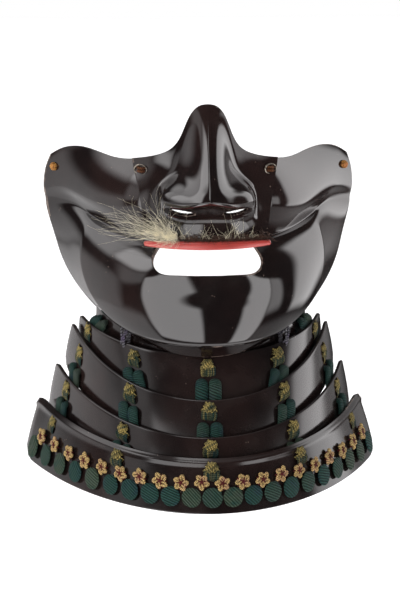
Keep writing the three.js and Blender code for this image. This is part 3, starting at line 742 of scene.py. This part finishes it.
class GUARD_OT_finishes(bpy.types.Operator):
    """Makes the lacquers, silks and hair"""

    bl_idname = "guard.finishes"
    bl_label = "Finishes"

    def execute(self, context):
        colours = context.scene.guard_colours
        age_group()
        braid_group()
        brown = [c * 1.9 + add for c, add in zip(colours.lacquer, (0.006, 0.002, 0.001))]
        lacquer_material("Black lacquer", colours.lacquer, brown, LACQUER_WORN, 0.055, 1.0, 1.0)
        lacquer_material("Throat lacquer", colours.lacquer, brown, LACQUER_WORN, 0.15, 1.0, 1.3, 0.36)
        lacquer_material("Inner lacquer", colours.inner_lacquer, (0.11, 0.012, 0.01),
                         (0.05, 0.03, 0.025), 0.30, 0.6, 1.0)
        rim_wear_and_highlight_material("Worn rim and painted highlight", colours.lacquer, (0.30, 0.235, 0.19))
        lacquer_material("Red lacquer", colours.lip, (0.42, 0.05, 0.04), (0.10, 0.03, 0.02), 0.30, 0.25, 1.0)
        green = (colours.silk, colours.worn_silk)
        silk_material("Green silk", *green, 1.5, strands=24, slant=5, lanes=1, relief=1.0, groove_shade=0.2)
        silk_material("Knot silk", *green, 1.2, strands=9, slant=1, lanes=1)
        silk_material("Hem silk", *green, 1.7, strands=6.2, slant=4.2, lanes=1, relief=1.0, groove_shade=0.3)
        silk_material("Gold silk", colours.gold, (0.30, 0.10, 0.04), 1.25, strands=12, slant=1, lanes=1)
        # partly painted shade: this dark red also darkens the spaces between the gold knots' loops
        silk_material("Dark red silk and painted shade", (0.11, 0.012, 0.012), (0.1, 0.02, 0.02), 1.3, wear_mark=False)
        silk_material("Orange silk", (0.62, 0.29, 0.07), (0.7, 0.5, 0.3), 1.2, strands=14, wear_mark=False)
        silk_material("Brown silk", (0.11, 0.04, 0.015), (0.3, 0.2, 0.1), 1.3, strands=14, wear_mark=False)
        silk_material("Grey silk", (0.085, 0.082, 0.092), (0.3, 0.3, 0.3), 1.6, strands=26, slant=1,
                      lanes=1, wear_mark=False)
        metal_material("Old metal", (0.34, 0.30, 0.25))
        hair_material("Cream hair", colours.hair)
        hair_material("Dark hair", (0.075, 0.034, 0.02))
        return {"FINISHED"}


# ---------------------------------------------------------------- the mask


class GUARD_OT_face_plate(bpy.types.Operator):
    """Models the cheeks and chin as one lacquered plate"""

    bl_idname = "guard.face_plate"
    bl_label = "Face plate"

    def execute(self, context):
        piece = mirrored_plate("Face_plate", FACE_SECTIONS)
        crease_along(piece, FACE_SECTIONS[VALLEY_ROW], lambda i: 0.85 if i < 5 else 0.4)
        jaw = [row[JAW_COLUMN] for row in FACE_SECTIONS]
        crease_along(piece, jaw, lambda i: 0.75 if i > VALLEY_ROW else 0.0)
        subdivide(piece, 4)
        give_wall(piece, context.scene.guard_sizes.plate_wall)
        smooth(piece, 60)
        dress_plate(piece)
        finish_piece(piece, "lacquer", "face_plate")
        return {"FINISHED"}


class GUARD_OT_nose_piece(bpy.types.Operator):
    """Models the nose and upper lip, with two nostril openings"""

    bl_idname = "guard.nose_piece"
    bl_label = "Nose piece"

    def execute(self, context):
        piece = mirrored_plate("Nose_piece", NOSE_ROWS)
        crease_along(piece, [row[0] for row in NOSE_ROWS], lambda i: 0.5 if i < WING_ROW else 0.0)
        crease_along(piece, NOSE_ROWS[WING_ROW], lambda i: 0.55 if i < WING_COLUMN else 0.0)
        crease_along(piece, [row[WING_COLUMN] for row in NOSE_ROWS], lambda i: 0.5 if 3 < i < 8 else 0.0)
        subdivide(piece, 4)
        self.open_nostrils(piece)
        give_wall(piece, context.scene.guard_sizes.nose_wall)
        smooth(piece)
        dress_plate(piece)
        finish_piece(piece, "lacquer", "nose_piece")
        return {"FINISHED"}

    @staticmethod
    def open_nostrils(piece):
        """Takes out a curved opening on each side under the tip."""

        def inside(face):
            x, y, z = (c / MM for c in face.center)
            across = (abs(x) - NOSTRIL_ACROSS) / NOSTRIL_HALF_WIDTH
            up = (z - NOSTRIL_UP - 1.8 * (x / 20) ** 2) / NOSTRIL_HALF_HEIGHT
            return across * across + up * up < 1 and y > -113 and z < 33

        select_faces(piece, inside)
        bpy.ops.mesh.delete(type="FACE")
        bpy.ops.object.mode_set(mode="OBJECT")


class GUARD_OT_lip(bpy.types.Operator):
    """Models the red lip along the foot of the nose piece"""

    bl_idname = "guard.lip"
    bl_label = "Red lip"

    def execute(self, context):
        def place(u, v):
            t = 2 * v - 1
            swell = math.sqrt(max(0.0, 1 - 0.9 * t * t))
            end = math.sqrt(max(0.0, 1 - max(0.0, (abs(t) - 0.97) / 0.03) ** 2))
            centre = Vector((LIP_HALF * t, -99.8 + LIP_SWEEP * t * t, 11 + 0.3 * t * t))
            out = Vector((0.5 * t, -1, 0)).normalized()
            up = Vector((0, 0.2, 1)).normalized()
            turn = FULL_TURN * u
            square = 1 + 0.12 * math.sin(2 * turn) ** 2
            return (centre + out * ((0.9 + 0.9 * swell) * end * square * math.cos(turn))
                    + up * ((0.7 + 1.7 * swell) * end * square * math.sin(turn)))

        piece = patch("Red_lip", 24, 90, place)
        tidy_mesh(piece)
        smooth(piece, 60)
        dress(piece, finish("Red lacquer"))
        finish_piece(piece, "red_lacquer", "red_lip")
        return {"FINISHED"}


# ---------------------------------------------------------------- hair


def strand(curve, points, radius):
    """Adds one hair, thinning to its tip, to a curve."""
    line = curve.splines.new("POLY")
    line.points.add(len(points) - 1)
    for index, point in enumerate(points):
        line.points[index].co = (*(Vector(point) * MM), 1)
        line.points[index].radius = radius * (1 - 0.75 * index / (len(points) - 1))


def hair_piece(name, strands):
    """A mesh of thin tapering tubes along the given lists of points."""
    curve = bpy.data.curves.new(name, "CURVE")
    curve.dimensions = "3D"
    curve.bevel_depth = 1.0 * MM
    curve.bevel_resolution = 0
    curve.use_fill_caps = True
    for points, radius in strands:
        strand(curve, points, radius)
    piece = bpy.data.objects.new(name, curve)
    bpy.context.scene.collection.objects.link(piece)
    make_active(piece)
    bpy.ops.object.convert(target="MESH")
    return bpy.context.object


class GUARD_OT_moustache(bpy.types.Operator):
    """Makes the long tuft of hair on one side and the short bristles along the lip"""

    bl_idname = "guard.moustache"
    bl_label = "Moustache"

    def execute(self, context):
        dice = random.Random(11)
        route = spline([(-17, -102.6, 16.6), (-22, -101.8, 16.8), (-28, -98.5, 17.5), (-38, -89.5, 19),
                        (-48, -80, 20.5), (-62, -64, 22)])
        strands = []
        for _ in range(context.scene.guard_sizes.hair_count):
            start = 0.30 * dice.random() ** 1.3
            reach = start + min(0.98 - start, 0.12 + 0.8 * dice.random() ** 1.7)
            rise = max(-0.35, dice.gauss(0.4, 0.8))
            droop = dice.uniform(0, 10) * dice.random()
            push = dice.uniform(0.2, 2.6)
            turns = dice.uniform(0.4, 1.4)
            curl = dice.gauss(0, 3.2)
            phase = dice.uniform(0, 6.28)
            root = dice.gauss(-0.4, 1.3)
            points = []
            for step in range(13):
                t = step / 12
                wave = curl * t * math.sin(phase + FULL_TURN * turns * t)
                loop = curl * t * (math.cos(phase + FULL_TURN * turns * t) - 0.6)
                p = route(start + (reach - start) * t)
                points.append(p + Vector((wave, -0.3 - push * math.sin(math.pi * t * 0.8),
                                          loop + root + 8.5 * rise * t ** 1.3 - droop * t ** 3)))
            strands.append((points, dice.uniform(0.05, 0.09)))
        tuft = hair_piece("Moustache_tuft", strands)
        dress(tuft, finish("Cream hair"))
        finish_piece(tuft, "hair", "moustache_tuft")

        bristles = []
        for _ in range(BRISTLE_COUNT):
            u = dice.uniform(-1, 1)
            x = 5.5 + 28 * u
            y = -99.4 + LIP_SWEEP * (x / LIP_HALF) ** 2
            base = Vector((x, y, 13.4 + abs(dice.gauss(0, 1.5))))
            lean = Vector((dice.gauss(0, 0.6), -dice.uniform(0.15, 0.9), dice.uniform(-0.5, 0.9)))
            length = dice.uniform(1.8, 4.6)
            bend = Vector((dice.gauss(0, 0.5), 0, -dice.uniform(0, 0.8)))
            points = [base + lean * (length * t) + bend * (t * t * length * 0.5)
                      for t in (0, 0.35, 0.7, 1)]
            bristles.append((points, dice.uniform(0.08, 0.17)))
        pale = []
        for centre, count, tall in PALE_CLUMPS:
            for _ in range(count):
                x = centre + dice.gauss(0, 3)
                y = -100.2 + LIP_SWEEP * (x / LIP_HALF) ** 2
                lean = Vector((dice.gauss(0, 0.35), -dice.uniform(0.05, 0.3), 1)).normalized()
                curl = dice.gauss(0, 3.2)
                length = tall * dice.uniform(0.3, 1.0)
                points = [Vector((x, y, 14.6)) + lean * (length * t)
                          + Vector((curl * t * math.sin(2.6 * t), -0.8 * t, -0.6 * abs(curl) * t ** 3))
                          for t in (0, 0.17, 0.33, 0.5, 0.67, 0.83, 1)]
                pale.append((points, dice.uniform(0.06, 0.09)))
        sparse = hair_piece("Moustache_sparse_hairs", pale)
        dress(sparse, finish("Cream hair"))
        finish_piece(sparse, "hair")
        stubble = hair_piece("Moustache_stubble", bristles)
        dress(stubble, finish("Dark hair"))
        finish_piece(stubble, "dark_hair", "moustache_stubble")
        return {"FINISHED"}


# ---------------------------------------------------------------- throat guard


class GUARD_OT_throat_guard(bpy.types.Operator):
    """Models the neck plate and the four curved lames"""

    bl_idname = "guard.throat_guard"
    bl_label = "Throat guard"

    def execute(self, context):
        wall = context.scene.guard_sizes.lame_wall
        neck = curved_plate("Neck_plate", NECK, 0.04, lambda s: 0.0, wall * 0.9)
        dress_plate(neck, "Throat lacquer")
        finish_piece(neck, "lacquer", "neck_plate")
        for index, plate in enumerate(LAMES):
            beaded = index == len(LAMES) - 1

            def profile(s, beaded=beaded):
                belly = 0.4 * math.sin(math.pi * s)
                bead = 0.8 * math.exp(-(((s - 0.09) / 0.045) ** 2)) if beaded else 0.0
                return belly + bead

            rows = 40 if beaded else 16
            piece = curved_plate(f"Lame_{index + 1}", plate, 0.07, profile, wall, rows=rows)
            dress_plate(piece, "Throat lacquer")
            finish_piece(piece, "lacquer", f"lame_{index + 1}")
        return {"FINISHED"}


def share(plate, key, u):
    return plate[key][1 if abs(u) > OUTER_COLUMNS else 0]


def lace_cord(name, upper, lower, u, side, width, wall):
    """One flat cord of a pair: out of the plate above, over it, and behind the next one."""
    half = width / MM / 2
    depth = CORD_HALF_DEPTH
    shift = side * (half + 0.1)
    top = share(upper, "hole", u)
    foot = share(lower, "knot", u)
    wall = wall / MM
    across = plate_frame(upper, u, top)[0]
    start = off_plate(upper, u, top + 0.08, depth + 0.7)
    tuck = off_plate(lower, u, 0.03, -wall - depth - 0.35)
    points = [
        off_plate(upper, u, top - 0.03, -wall - 1.0),
        off_plate(upper, u, top - 0.03, -0.4),
        off_plate(upper, u, top - 0.02, depth + 0.9),
        start,
        tuck,
        off_plate(lower, u, foot - 0.05, -wall - depth - 0.3),
        off_plate(lower, u, foot + 0.02, -wall * 0.5),
    ]
    if tuck.z > start.z - 1:
        points.remove(tuck)
    points = [p + across * shift for p in points]
    count = len(points) - 1

    def half_width(v):
        arch = min(1.0, max(0.0, v * count - 1.3) / 1.8)
        pinch = max(0.0, v * count - (count - 1.6)) / 1.6
        return half * (0.42 + 0.58 * math.sqrt(1 - (1 - arch) ** 2)) * (1 - 0.55 * pinch)

    return sweep(name, spline(points), lambda v: across, half_width, lambda v: depth,
                 around=12, along=30, blunt=0.05)


def strands_along(points, count, spread, radius, lean, dice, wear, fray=0.25):
    """A band of thin strands side by side along a few points."""
    made = []
    for index in range(count):
        shift = spread * (index - (count - 1) / 2)
        bent = [Vector(p) + lean * shift + Vector([dice.gauss(0, fray) for _ in range(3)])
                for p in points]
        size = radius * dice.uniform(0.8, 1.15)
        line = sweep("Strand", spline(bent), lambda v: lean, lambda v: size, lambda v: size * 0.85,
                     6, 11, 0.12)
        mark_wear(line, max(0.0, min(1.0, dice.gauss(wear, 0.25))))
        made.append(line)
    return made


def knot_template(dice):
    """A worn cross knot of many strands: two upright lobes under two crossed bands."""
    pieces = []
    for side in (-1, 1):
        lobe = [(side * 1.2, 0.5, 1.4), (side * 1.9, -1.7, 0.6), (side * 2.2, -2.3, -1.8),
                (side * 2.0, -1.6, -4.0), (side * 1.3, 0.4, -4.8)]
        pieces += strands_along(lobe, 6, 0.72, 0.46, Vector((1, 0, 0)), dice, 0.12, 0.12)
        band = [(-side * 3.8, 0.4, -0.9), (-side * 2.7, -2.4, 0.1), (0, -3.3 - 0.5 * side, 1.9),
                (side * 2.4, -2.4, 3.5), (side * 3.0, 0.3, 4.5)]
        slope = Vector((0.6, 0, -0.8 * side)).normalized()
        pieces += strands_along(band, 5, 0.68, 0.42, slope, dice, 0.75, 0.2)
    crown = [(-2.8, 0.3, 2.6), (-1.6, -2.2, 3.9), (0, -2.8, 4.5), (1.6, -2.2, 3.9), (2.8, 0.3, 2.6)]
    pieces += strands_along(crown, 3, 0.6, 0.42, Vector((0, 0.3, 1)).normalized(), dice, 0.95, 0.15)
    return join("Knot template", pieces)


def place_on_plate(plate, u, s, off, scale=1.0, turn=0.0):
    """A matrix that sets a small piece (x across, -y out, z up, in metres) on a plate."""
    across, down, out = plate_frame(plate, u, s)
    spot = off_plate(plate, u, s, off) * MM
    turned = Matrix((across, -out, -down)).transposed().to_4x4()
    spin = Matrix.Rotation(turn, 4, "Y")
    size = Matrix.Diagonal((scale, scale, scale, 1))
    return Matrix.Translation(spot) @ turned @ spin @ size


class GUARD_OT_lacing(bpy.types.Operator):
    """Laces the plates together in five columns"""

    bl_idname = "guard.lacing"
    bl_label = "Lacing"

    def execute(self, context):
        sizes = context.scene.guard_sizes
        dice = random.Random(4)
        knots = [knot_template(dice) for _ in range(3)]
        plates = [NECK, *LAMES]
        for step in range(len(LAMES)):
            upper, lower = plates[step], plates[step + 1]
            for column, u in COLUMNS.items():
                name = f"Lace_{step + 1}_{column}"
                pieces = []
                for side in (-1, 1):
                    cord = lace_cord(name, upper, lower, u, side, sizes.cord_width, sizes.lame_wall)
                    mark_wear(cord, dice.choice((0.0, 0.0, 0.03, 0.07)))
                    pieces.append(cord)
                flat = 0.45 if abs(u) > OUTER_COLUMNS else 1.0
                seat = place_on_plate(lower, u, share(lower, "knot", u) + 0.01, 0.1,
                                      dice.uniform(0.92, 1.06), dice.uniform(-0.15, 0.15))
                pieces.append(copy_at(dice.choice(knots), seat @ Matrix.Diagonal((1, flat, 1, 1)), name))
                for part in pieces[:-1]:
                    dress(part, finish("Green silk"))
                dress(pieces[-1], finish("Knot silk"))
                piece = join(name, pieces)
                smooth(piece, 180)
                finish_piece(piece, "green_cord", f"lace_{step + 1}_{column}")
        discard(knots)
        return {"FINISHED"}


# ---------------------------------------------------------------- hem


def flat_uv(piece, width):
    """Lays the piece's UV map flat across its front."""
    layer = piece.data.uv_layers.get("UVMap") or piece.data.uv_layers.new(name="UVMap")
    for loop in piece.data.loops:
        spot = piece.data.vertices[loop.vertex_index].co / (width * MM)
        layer.data[loop.index].uv = (spot.x + 0.5, spot.z + 0.5)


def oval_template():
    """A stitched oval pad of silk with slanting ridges."""

    def place(u, v):
        turn = FULL_TURN * u
        lift = math.pi * v
        x = 5.45 * math.sin(lift) * math.cos(turn)
        z = 5.45 * math.sin(lift) * math.sin(turn)
        ridge = 0.22 * math.sin(FULL_TURN * (0.42 * x + 0.62 * z + 0.2)) * math.sin(lift)
        dome = 0.9 + 1.15 * (0.5 - math.cos(lift) / 2) ** 0.7 * 2
        return Vector((x, -(dome - 0.9) * 0.95 - (ridge if v > 0.5 else 0), z))

    piece = patch("Oval template", 48, 30, place)
    tidy_mesh(piece)
    flat_uv(piece, 10)
    return piece


def loop_of_cord(name, path, radius, around=6, along=16):
    """A closed ring of cord round path(v), lying across the front."""

    def place(u, v):
        step = 0.01
        forward = (path(v + step) - path(v - step)).normalized()
        side = forward.cross(Vector((0, 1, 0))).normalized()
        up = forward.cross(side)
        turn = FULL_TURN * u
        return path(v) + side * (radius * math.cos(turn)) + up * (radius * math.sin(turn))

    ring = patch(name, around, along, place)
    tidy_mesh(ring)
    return ring


def flower_template(dice):
    """A small knot of gold cord: five curved loops like petals."""
    petals = []
    for index in range(5):
        aim = FULL_TURN * (index + dice.uniform(-0.12, 0.12)) / 5
        reach = dice.uniform(1.35, 1.6)

        def path(v, aim=aim, reach=reach):
            turn = FULL_TURN * v
            out = 2.35 + reach * math.cos(turn)
            side = 0.92 * math.sin(turn) + 0.30 * (out - 2.4)
            lift = -1.35 - 0.75 * math.sin(turn / 2) - 0.35 * math.cos(turn)
            return Vector((out * math.cos(aim) - side * math.sin(aim), lift,
                           out * math.sin(aim) + side * math.cos(aim)))

        petal = loop_of_cord("Petal", path, 0.74)
        mark_wear(petal, dice.choice((0.0, 0.0, 0.3)))
        petals.append(petal)
    return join("Flower template", petals)


def heart_template():
    """The dark red strands between a gold knot's loops, and its middle: partly red silk, partly painted
    shade between the loops.
    """
    strands = []
    for index in range(5):
        aim = FULL_TURN * (index + 0.5) / 5
        out = Vector((math.cos(aim), 0, math.sin(aim)))
        points = [Vector((0, -1.9, 0)), out * 1.2 + Vector((0, -2.3, 0)), out * 2.6 + Vector((0, -1.9, 0)),
                  out * 3.7 + Vector((0, -0.3, 0))]
        strands.append(sweep("Heart strand", spline(points), lambda v, o=out: Vector((o.z, 0, -o.x)),
                             lambda v: 0.62, lambda v: 0.55, 6, 8, 0.15))

    def place(u, v):
        turn = FULL_TURN * u
        lift = math.pi * v
        return Vector((1.15 * math.sin(lift) * math.cos(turn), -2.0 - 0.9 * math.cos(lift),
                       1.15 * math.sin(lift) * math.sin(turn)))

    bead = patch("Heart bead", 10, 6, place)
    tidy_mesh(bead)
    return join("Heart template", [*strands, bead])


def hem_place(index, count, span, upward):
    plate = LAMES[-1]
    u = -span + 2 * span * index / (count - 1)
    height = (plate_point(plate, u, 0) - plate_point(plate, u, 1)).length
    return u, 1 - upward / height


class GUARD_OT_hem(bpy.types.Operator):
    """Stitches the green ovals and gold knots along the foot of the lowest lame"""

    bl_idname = "guard.hem"
    bl_label = "Hem stitches"

    def execute(self, context):
        dice = random.Random(8)
        oval, flower, heart = oval_template(), flower_template(dice), heart_template()
        ovals = []
        for index in range(HEM_COUNT):
            u, s = hem_place(index, HEM_COUNT, HEM_SPAN, HEM_GREEN_UP)
            size = dice.uniform(0.97, 1.04) + 0.16 * u * u
            seat = place_on_plate(LAMES[-1], u, s, HEM_OFF, size, dice.uniform(-0.3, 0.3))
            copy = copy_at(oval, seat, "Hem oval")
            mark_wear(copy, dice.choice((0.0, 0.0, 0.04, 0.08)))
            ovals.append(copy)
        braid = join("Hem_green_braid", ovals)
        finish_cord(braid, "Hem silk", "green_cord", "hem_green_braid")

        flowers = []
        hearts = []
        for index in range(HEM_COUNT - 1):
            upward = HEM_GOLD_UP + dice.uniform(-0.5, 0.5)
            u, s = hem_place(index, HEM_COUNT - 1, HEM_SPAN * 0.95, upward)
            size = dice.uniform(0.94, 1.05) + 0.10 * u * u
            seat = place_on_plate(LAMES[-1], u, s, HEM_OFF, size, dice.uniform(0, 6.28))
            flowers.append(copy_at(flower, seat, "Hem flower"))
            hearts.append(copy_at(heart, seat, "Hem heart"))
        knots = join("Hem_gold_knots", flowers)
        finish_cord(knots, "Gold silk", "gold_cord", "hem_gold_knots")
        # partly painted shade: the dark red strands darken the spaces between the gold loops as well as
        # showing red silk
        hearts_and_painted_shade = join("Hem_red_hearts_and_painted_shade", hearts)
        finish_cord(hearts_and_painted_shade, "Dark red silk and painted shade", "gold_cord")
        discard([oval, flower, heart])
        return {"FINISHED"}


# ---------------------------------------------------------------- knots and ties of the mask


def box_centre(node):
    low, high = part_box(node)
    return (low + high) / (2 * MM)


class GUARD_OT_ties(bpy.types.Operator):
    """Ties the nose piece, the cheek cords and the jaw"""

    bl_idname = "guard.ties"
    bl_label = "Knots and ties"

    def execute(self, context):
        for hand, side in SIDES.items():
            self.cheek_knot(hand, side)
            self.nose_tie(hand, side)
            self.jaw_tie(hand, side)
        return {"FINISHED"}

    @staticmethod
    def cheek_knot(hand, side):
        centre = box_centre(f"cheek_knot_{hand}")
        out = Vector((side * 0.78, -0.62, 0)).normalized()
        across = UP.cross(out)
        loops = []
        for turn in (0.5, 2.1, -0.9):
            lean = across * math.cos(turn) + UP * math.sin(turn)
            other = out.cross(lean)
            bends = ((-2.2, -0.5, 0), (0.9, -2.1, 0.2), (2.6, -1.0, 0.5), (2.8, 1.0, -0.4),
                     (1.0, 2.2, 0), (-2.2, 0.6, 0))
            points = [centre + out * h + lean * a + other * b for h, a, b in bends]
            loops.append(sweep("Knot loop", spline(points), lambda v, o=other: o,
                               lambda v: 1.15, lambda v: 0.75, 10, 22, 0.1))
        piece = join(f"Cheek_knot_{hand}", loops)
        finish_cord(piece, "Orange silk", "orange_cord", f"cheek_knot_{hand}")

    @staticmethod
    def nose_tie(hand, side):
        centre = box_centre(f"nose_tie_{hand}")
        out = Vector((side * 0.6, -0.8, 0)).normalized()
        across = UP.cross(out)
        loops = []
        for lift in (-0.9, 0.9):
            bends = ((-3.5, -2.2, 0), (1.2, -2.5, 0), (3.7, -1.4, 0.2), (3.7, 1.4, -0.2),
                     (1.2, 2.5, 0), (-3.5, 2.2, 0))
            points = [centre + out * h + across * a + Vector((0, 0, lift + b)) for h, a, b in bends]
            loops.append(sweep("Tie loop", spline(points), lambda v: UP, lambda v: 0.78,
                               lambda v: 0.8, 10, 24, 0.08))
            dress(loops[-1], finish("Brown silk"))

        def place(u, v):
            turn = FULL_TURN * v
            tube = FULL_TURN * u
            radial = across * math.cos(turn) + Vector((0, 0, math.sin(turn)))
            thick = 0.30 + 0.20 * math.cos(turn - 2.6)
            return (centre + out * (2.6 + thick * math.sin(tube)) + across * (4.1 * math.cos(turn))
                    + Vector((0, 0, 2.7 * math.sin(turn))) + radial * (thick * math.cos(tube)))

        eyelet = patch("Eyelet", 8, 32, place)
        tidy_mesh(eyelet)
        dress(eyelet, finish("Old metal"))
        piece = join(f"Nose_tie_{hand}", [*loops, eyelet])
        smooth(piece, 180)
        finish_piece(piece, "brown_cord", f"nose_tie_{hand}")

    @staticmethod
    def jaw_tie(hand, side):
        centre = box_centre(f"jaw_tie_{hand}")
        out = Vector((side * 0.62, -0.78, 0)).normalized()
        flat = UP.cross(out)
        loops = []
        for shift, tall, lean in ((-0.8, 7.6, -0.9), (0.7, 7.0, 0.5), (0.2, 4.2, 2.6)):
            def path(v, shift=shift, tall=tall, lean=lean):
                turn = FULL_TURN * v
                return (centre + flat * (shift + lean * math.sin(turn))
                        + out * (2.7 * math.cos(turn) + 0.2 * abs(lean))
                        + Vector((0, 0, tall * math.sin(turn))))

            def place(u, v, path=path):
                forward = (path(v + 0.004) - path(v - 0.004)).normalized()
                rim = forward.cross(flat).normalized()
                turn = FULL_TURN * u
                twist = 1 + 0.14 * math.cos(2 * turn + 40 * math.pi * v)
                return (path(v) + rim * (0.62 * twist * math.cos(turn))
                        + flat * (0.62 * twist * math.sin(turn)))

            loop = patch("Jaw loop", 10, 96, place)
            tidy_mesh(loop)
            loops.append(loop)
        piece = join(f"Jaw_tie_{hand}", loops)
        finish_cord(piece, "Grey silk", "grey_cord", f"jaw_tie_{hand}")


# ---------------------------------------------------------------- studio


def outward(azimuth, elevation):
    """The direction from the guard to what is seen at these angles from straight in front."""
    return Vector((math.sin(azimuth) * math.cos(elevation), -math.cos(azimuth) * math.cos(elevation),
                   math.sin(elevation)))


def softbox(name, azimuth, elevation, width, height, radiance, distance=1.7):
    """A rectangular light that faces the guard from a given direction."""
    back = outward(math.radians(azimuth), math.radians(elevation))
    light = bpy.data.lights.new(name, "AREA")
    light.shape = "RECTANGLE"
    light.size = 2 * distance * math.tan(math.radians(width) / 2)
    light.size_y = 2 * distance * math.tan(math.radians(height) / 2)
    light.energy = radiance * math.pi * light.size * light.size_y
    holder = bpy.data.objects.new(name, light)
    holder.location = Vector(LIGHT_AIM) * MM + back * distance
    holder.rotation_euler = back.to_track_quat("Z", "Y").to_euler()
    bpy.context.scene.collection.objects.link(holder)


def glow(tree, azimuth, elevation, west, east, low, high, soft, strength):
    """The strength inside a soft-edged patch of the room, in degrees round and above the guard."""
    across = math_node(tree, "MULTIPLY", ramp(tree, azimuth, west - soft, west + soft),
                       ramp(tree, azimuth, east + soft, east - soft))
    upright = math_node(tree, "MULTIPLY", ramp(tree, elevation, low - soft, low + soft),
                        ramp(tree, elevation, high + soft, high - soft))
    return math_node(tree, "MULTIPLY", math_node(tree, "MULTIPLY", across, upright), strength)


# Patches of the room: azimuth from and to, elevation from and to, soft edge, brightness.
ROOM = [
    (-60, -3, -36, 13, 3, 4.0),
    (-96, -62, 26, 48, 5, 4.8),
    (-125, -94, 24, 48, 5, 2.6),
    (-150, -100, 42, 58, 5, 2.2),
    (-90, -62, 2, 24, 5, 1.0),
    (-135, -88, -22, 8, 6, 1.0),
    (-162, -134, -20, 2, 5, 1.1),
    (-176, -64, -60, -17, 5, 1.3),
    (37, 64, -42, 6, 3, 4.4),
    (64, 82, -14, 6, 4, 2.2),
    (98, 124, -20, 38, 4, 3.5),
    (126, 150, -10, 30, 6, 0.5),
    (64, 176, -60, -24, 6, 0.6),
    (-200, 200, -90, -46, 5, 2.6),
    (-200, 200, 52, 90, 8, 0.45),
]


def studio_world():
    """A dim room with soft-edged bright patches, plain white to the camera."""
    world = bpy.data.worlds.new("Studio")
    world.use_nodes = True
    bpy.context.scene.world = world
    tree = world.node_tree
    room = tree.nodes["Background"]
    direction = add_node(tree, "ShaderNodeTexCoord").outputs["Generated"]
    parts = add_node(tree, "ShaderNodeSeparateXYZ", {0: direction})
    x, y, z = parts.outputs
    turn = math_node(tree, "ARCTAN2", x, math_node(tree, "MULTIPLY", y, -1.0))
    azimuth = math_node(tree, "MULTIPLY", turn, math.degrees(1))
    elevation = math_node(tree, "MULTIPLY", math_node(tree, "ARCSINE", z), math.degrees(1))
    light = 0.05
    for patch_of_room in ROOM:
        light = math_node(tree, "MAXIMUM", glow(tree, azimuth, elevation, *patch_of_room), light)
    tree.links.new(light, room.inputs["Strength"])
    room.inputs["Color"].default_value = (1.0, 0.98, 0.985, 1)
    white = add_node(tree, "ShaderNodeBackground", {"Color": (1, 1, 1, 1), "Strength": 1.0})
    seen = add_node(tree, "ShaderNodeLightPath").outputs["Is Camera Ray"]
    both = add_node(tree, "ShaderNodeMixShader", {0: seen, 1: room.outputs[0], 2: white.outputs[0]})
    tree.links.new(both.outputs[0], tree.nodes["World Output"].inputs["Surface"])


class GUARD_OT_stage(bpy.types.Operator):
    """Sets up the pale floor, the studio lights and the camera"""

    bl_idname = "guard.stage"
    bl_label = "Studio"

    def execute(self, context):
        settings = context.scene.guard_stage
        studio_world()
        softbox("Key light", -20, 55, 24, 24, settings.key_radiance)

        deselect_all()
        low = CAD_BOX[0].z - FLOOR_DROP * MM
        bpy.ops.mesh.primitive_plane_add(size=12, location=(0, 0, low))
        floor = context.object
        floor.name = "Floor"
        material, tree, principled = shader("White floor")
        principled.inputs["Base Color"].default_value = (0.93, 0.93, 0.93, 1)
        principled.inputs["Roughness"].default_value = 0.9
        place = object_place(tree)
        bumped(tree, principled, noise(tree, place, 40), 0.05, 0.001)
        principled.inputs["Emission Color"].default_value = (1, 1, 1, 1)
        principled.inputs["Emission Strength"].default_value = 0.6
        dress(floor, material)
        floor.visible_glossy = False

        back = outward(settings.azimuth, settings.elevation)
        lens = bpy.data.cameras.new("Camera")
        lens.lens = settings.lens
        lens.clip_end = 50
        camera = bpy.data.objects.new("Camera", lens)
        camera.location = Vector(CAMERA_AIM) * MM + back * settings.distance
        camera.rotation_euler = back.to_track_quat("Z", "Y").to_euler()
        context.scene.collection.objects.link(camera)
        context.scene.camera = camera
        context.scene.view_settings.view_transform = "Standard"
        return {"FINISHED"}


STEPS = ("stage", "finishes", "face_plate", "nose_piece", "lip", "throat_guard", "lacing", "hem",
         "ties", "moustache")


class GUARD_PT_panel(bpy.types.Panel):
    """Lists the guard's pieces and settings"""

    bl_idname = "GUARD_PT_panel"
    bl_label = "Samurai face guard"
    bl_space_type = "VIEW_3D"
    bl_region_type = "UI"
    bl_category = "Face guard"

    def draw(self, context):
        scene = context.scene
        for settings in (scene.guard_sizes, scene.guard_colours, scene.guard_stage):
            box = self.layout.box()
            for name in settings.bl_rna.properties.keys():
                if name not in ("rna_type", "name"):
                    box.prop(settings, name)
        for step in STEPS:
            self.layout.operator(f"guard.{step}")


CLASSES = (
    GuardSizes, GuardColours, GuardStage,
    GUARD_OT_finishes, GUARD_OT_face_plate, GUARD_OT_nose_piece, GUARD_OT_lip, GUARD_OT_moustache,
    GUARD_OT_throat_guard, GUARD_OT_lacing, GUARD_OT_hem, GUARD_OT_ties, GUARD_OT_stage,
    GUARD_PT_panel,
)


def register():
    for made in CLASSES:
        bpy.utils.register_class(made)
    bpy.types.Scene.guard_sizes = bpy.props.PointerProperty(type=GuardSizes)
    bpy.types.Scene.guard_colours = bpy.props.PointerProperty(type=GuardColours)
    bpy.types.Scene.guard_stage = bpy.props.PointerProperty(type=GuardStage)


def unregister():
    del bpy.types.Scene.guard_stage
    del bpy.types.Scene.guard_colours
    del bpy.types.Scene.guard_sizes
    for made in reversed(CLASSES):
        bpy.utils.unregister_class(made)


def main():
    register()
    for step in STEPS:
        getattr(bpy.ops.guard, step)()


if __name__ == "__main__":
    main()
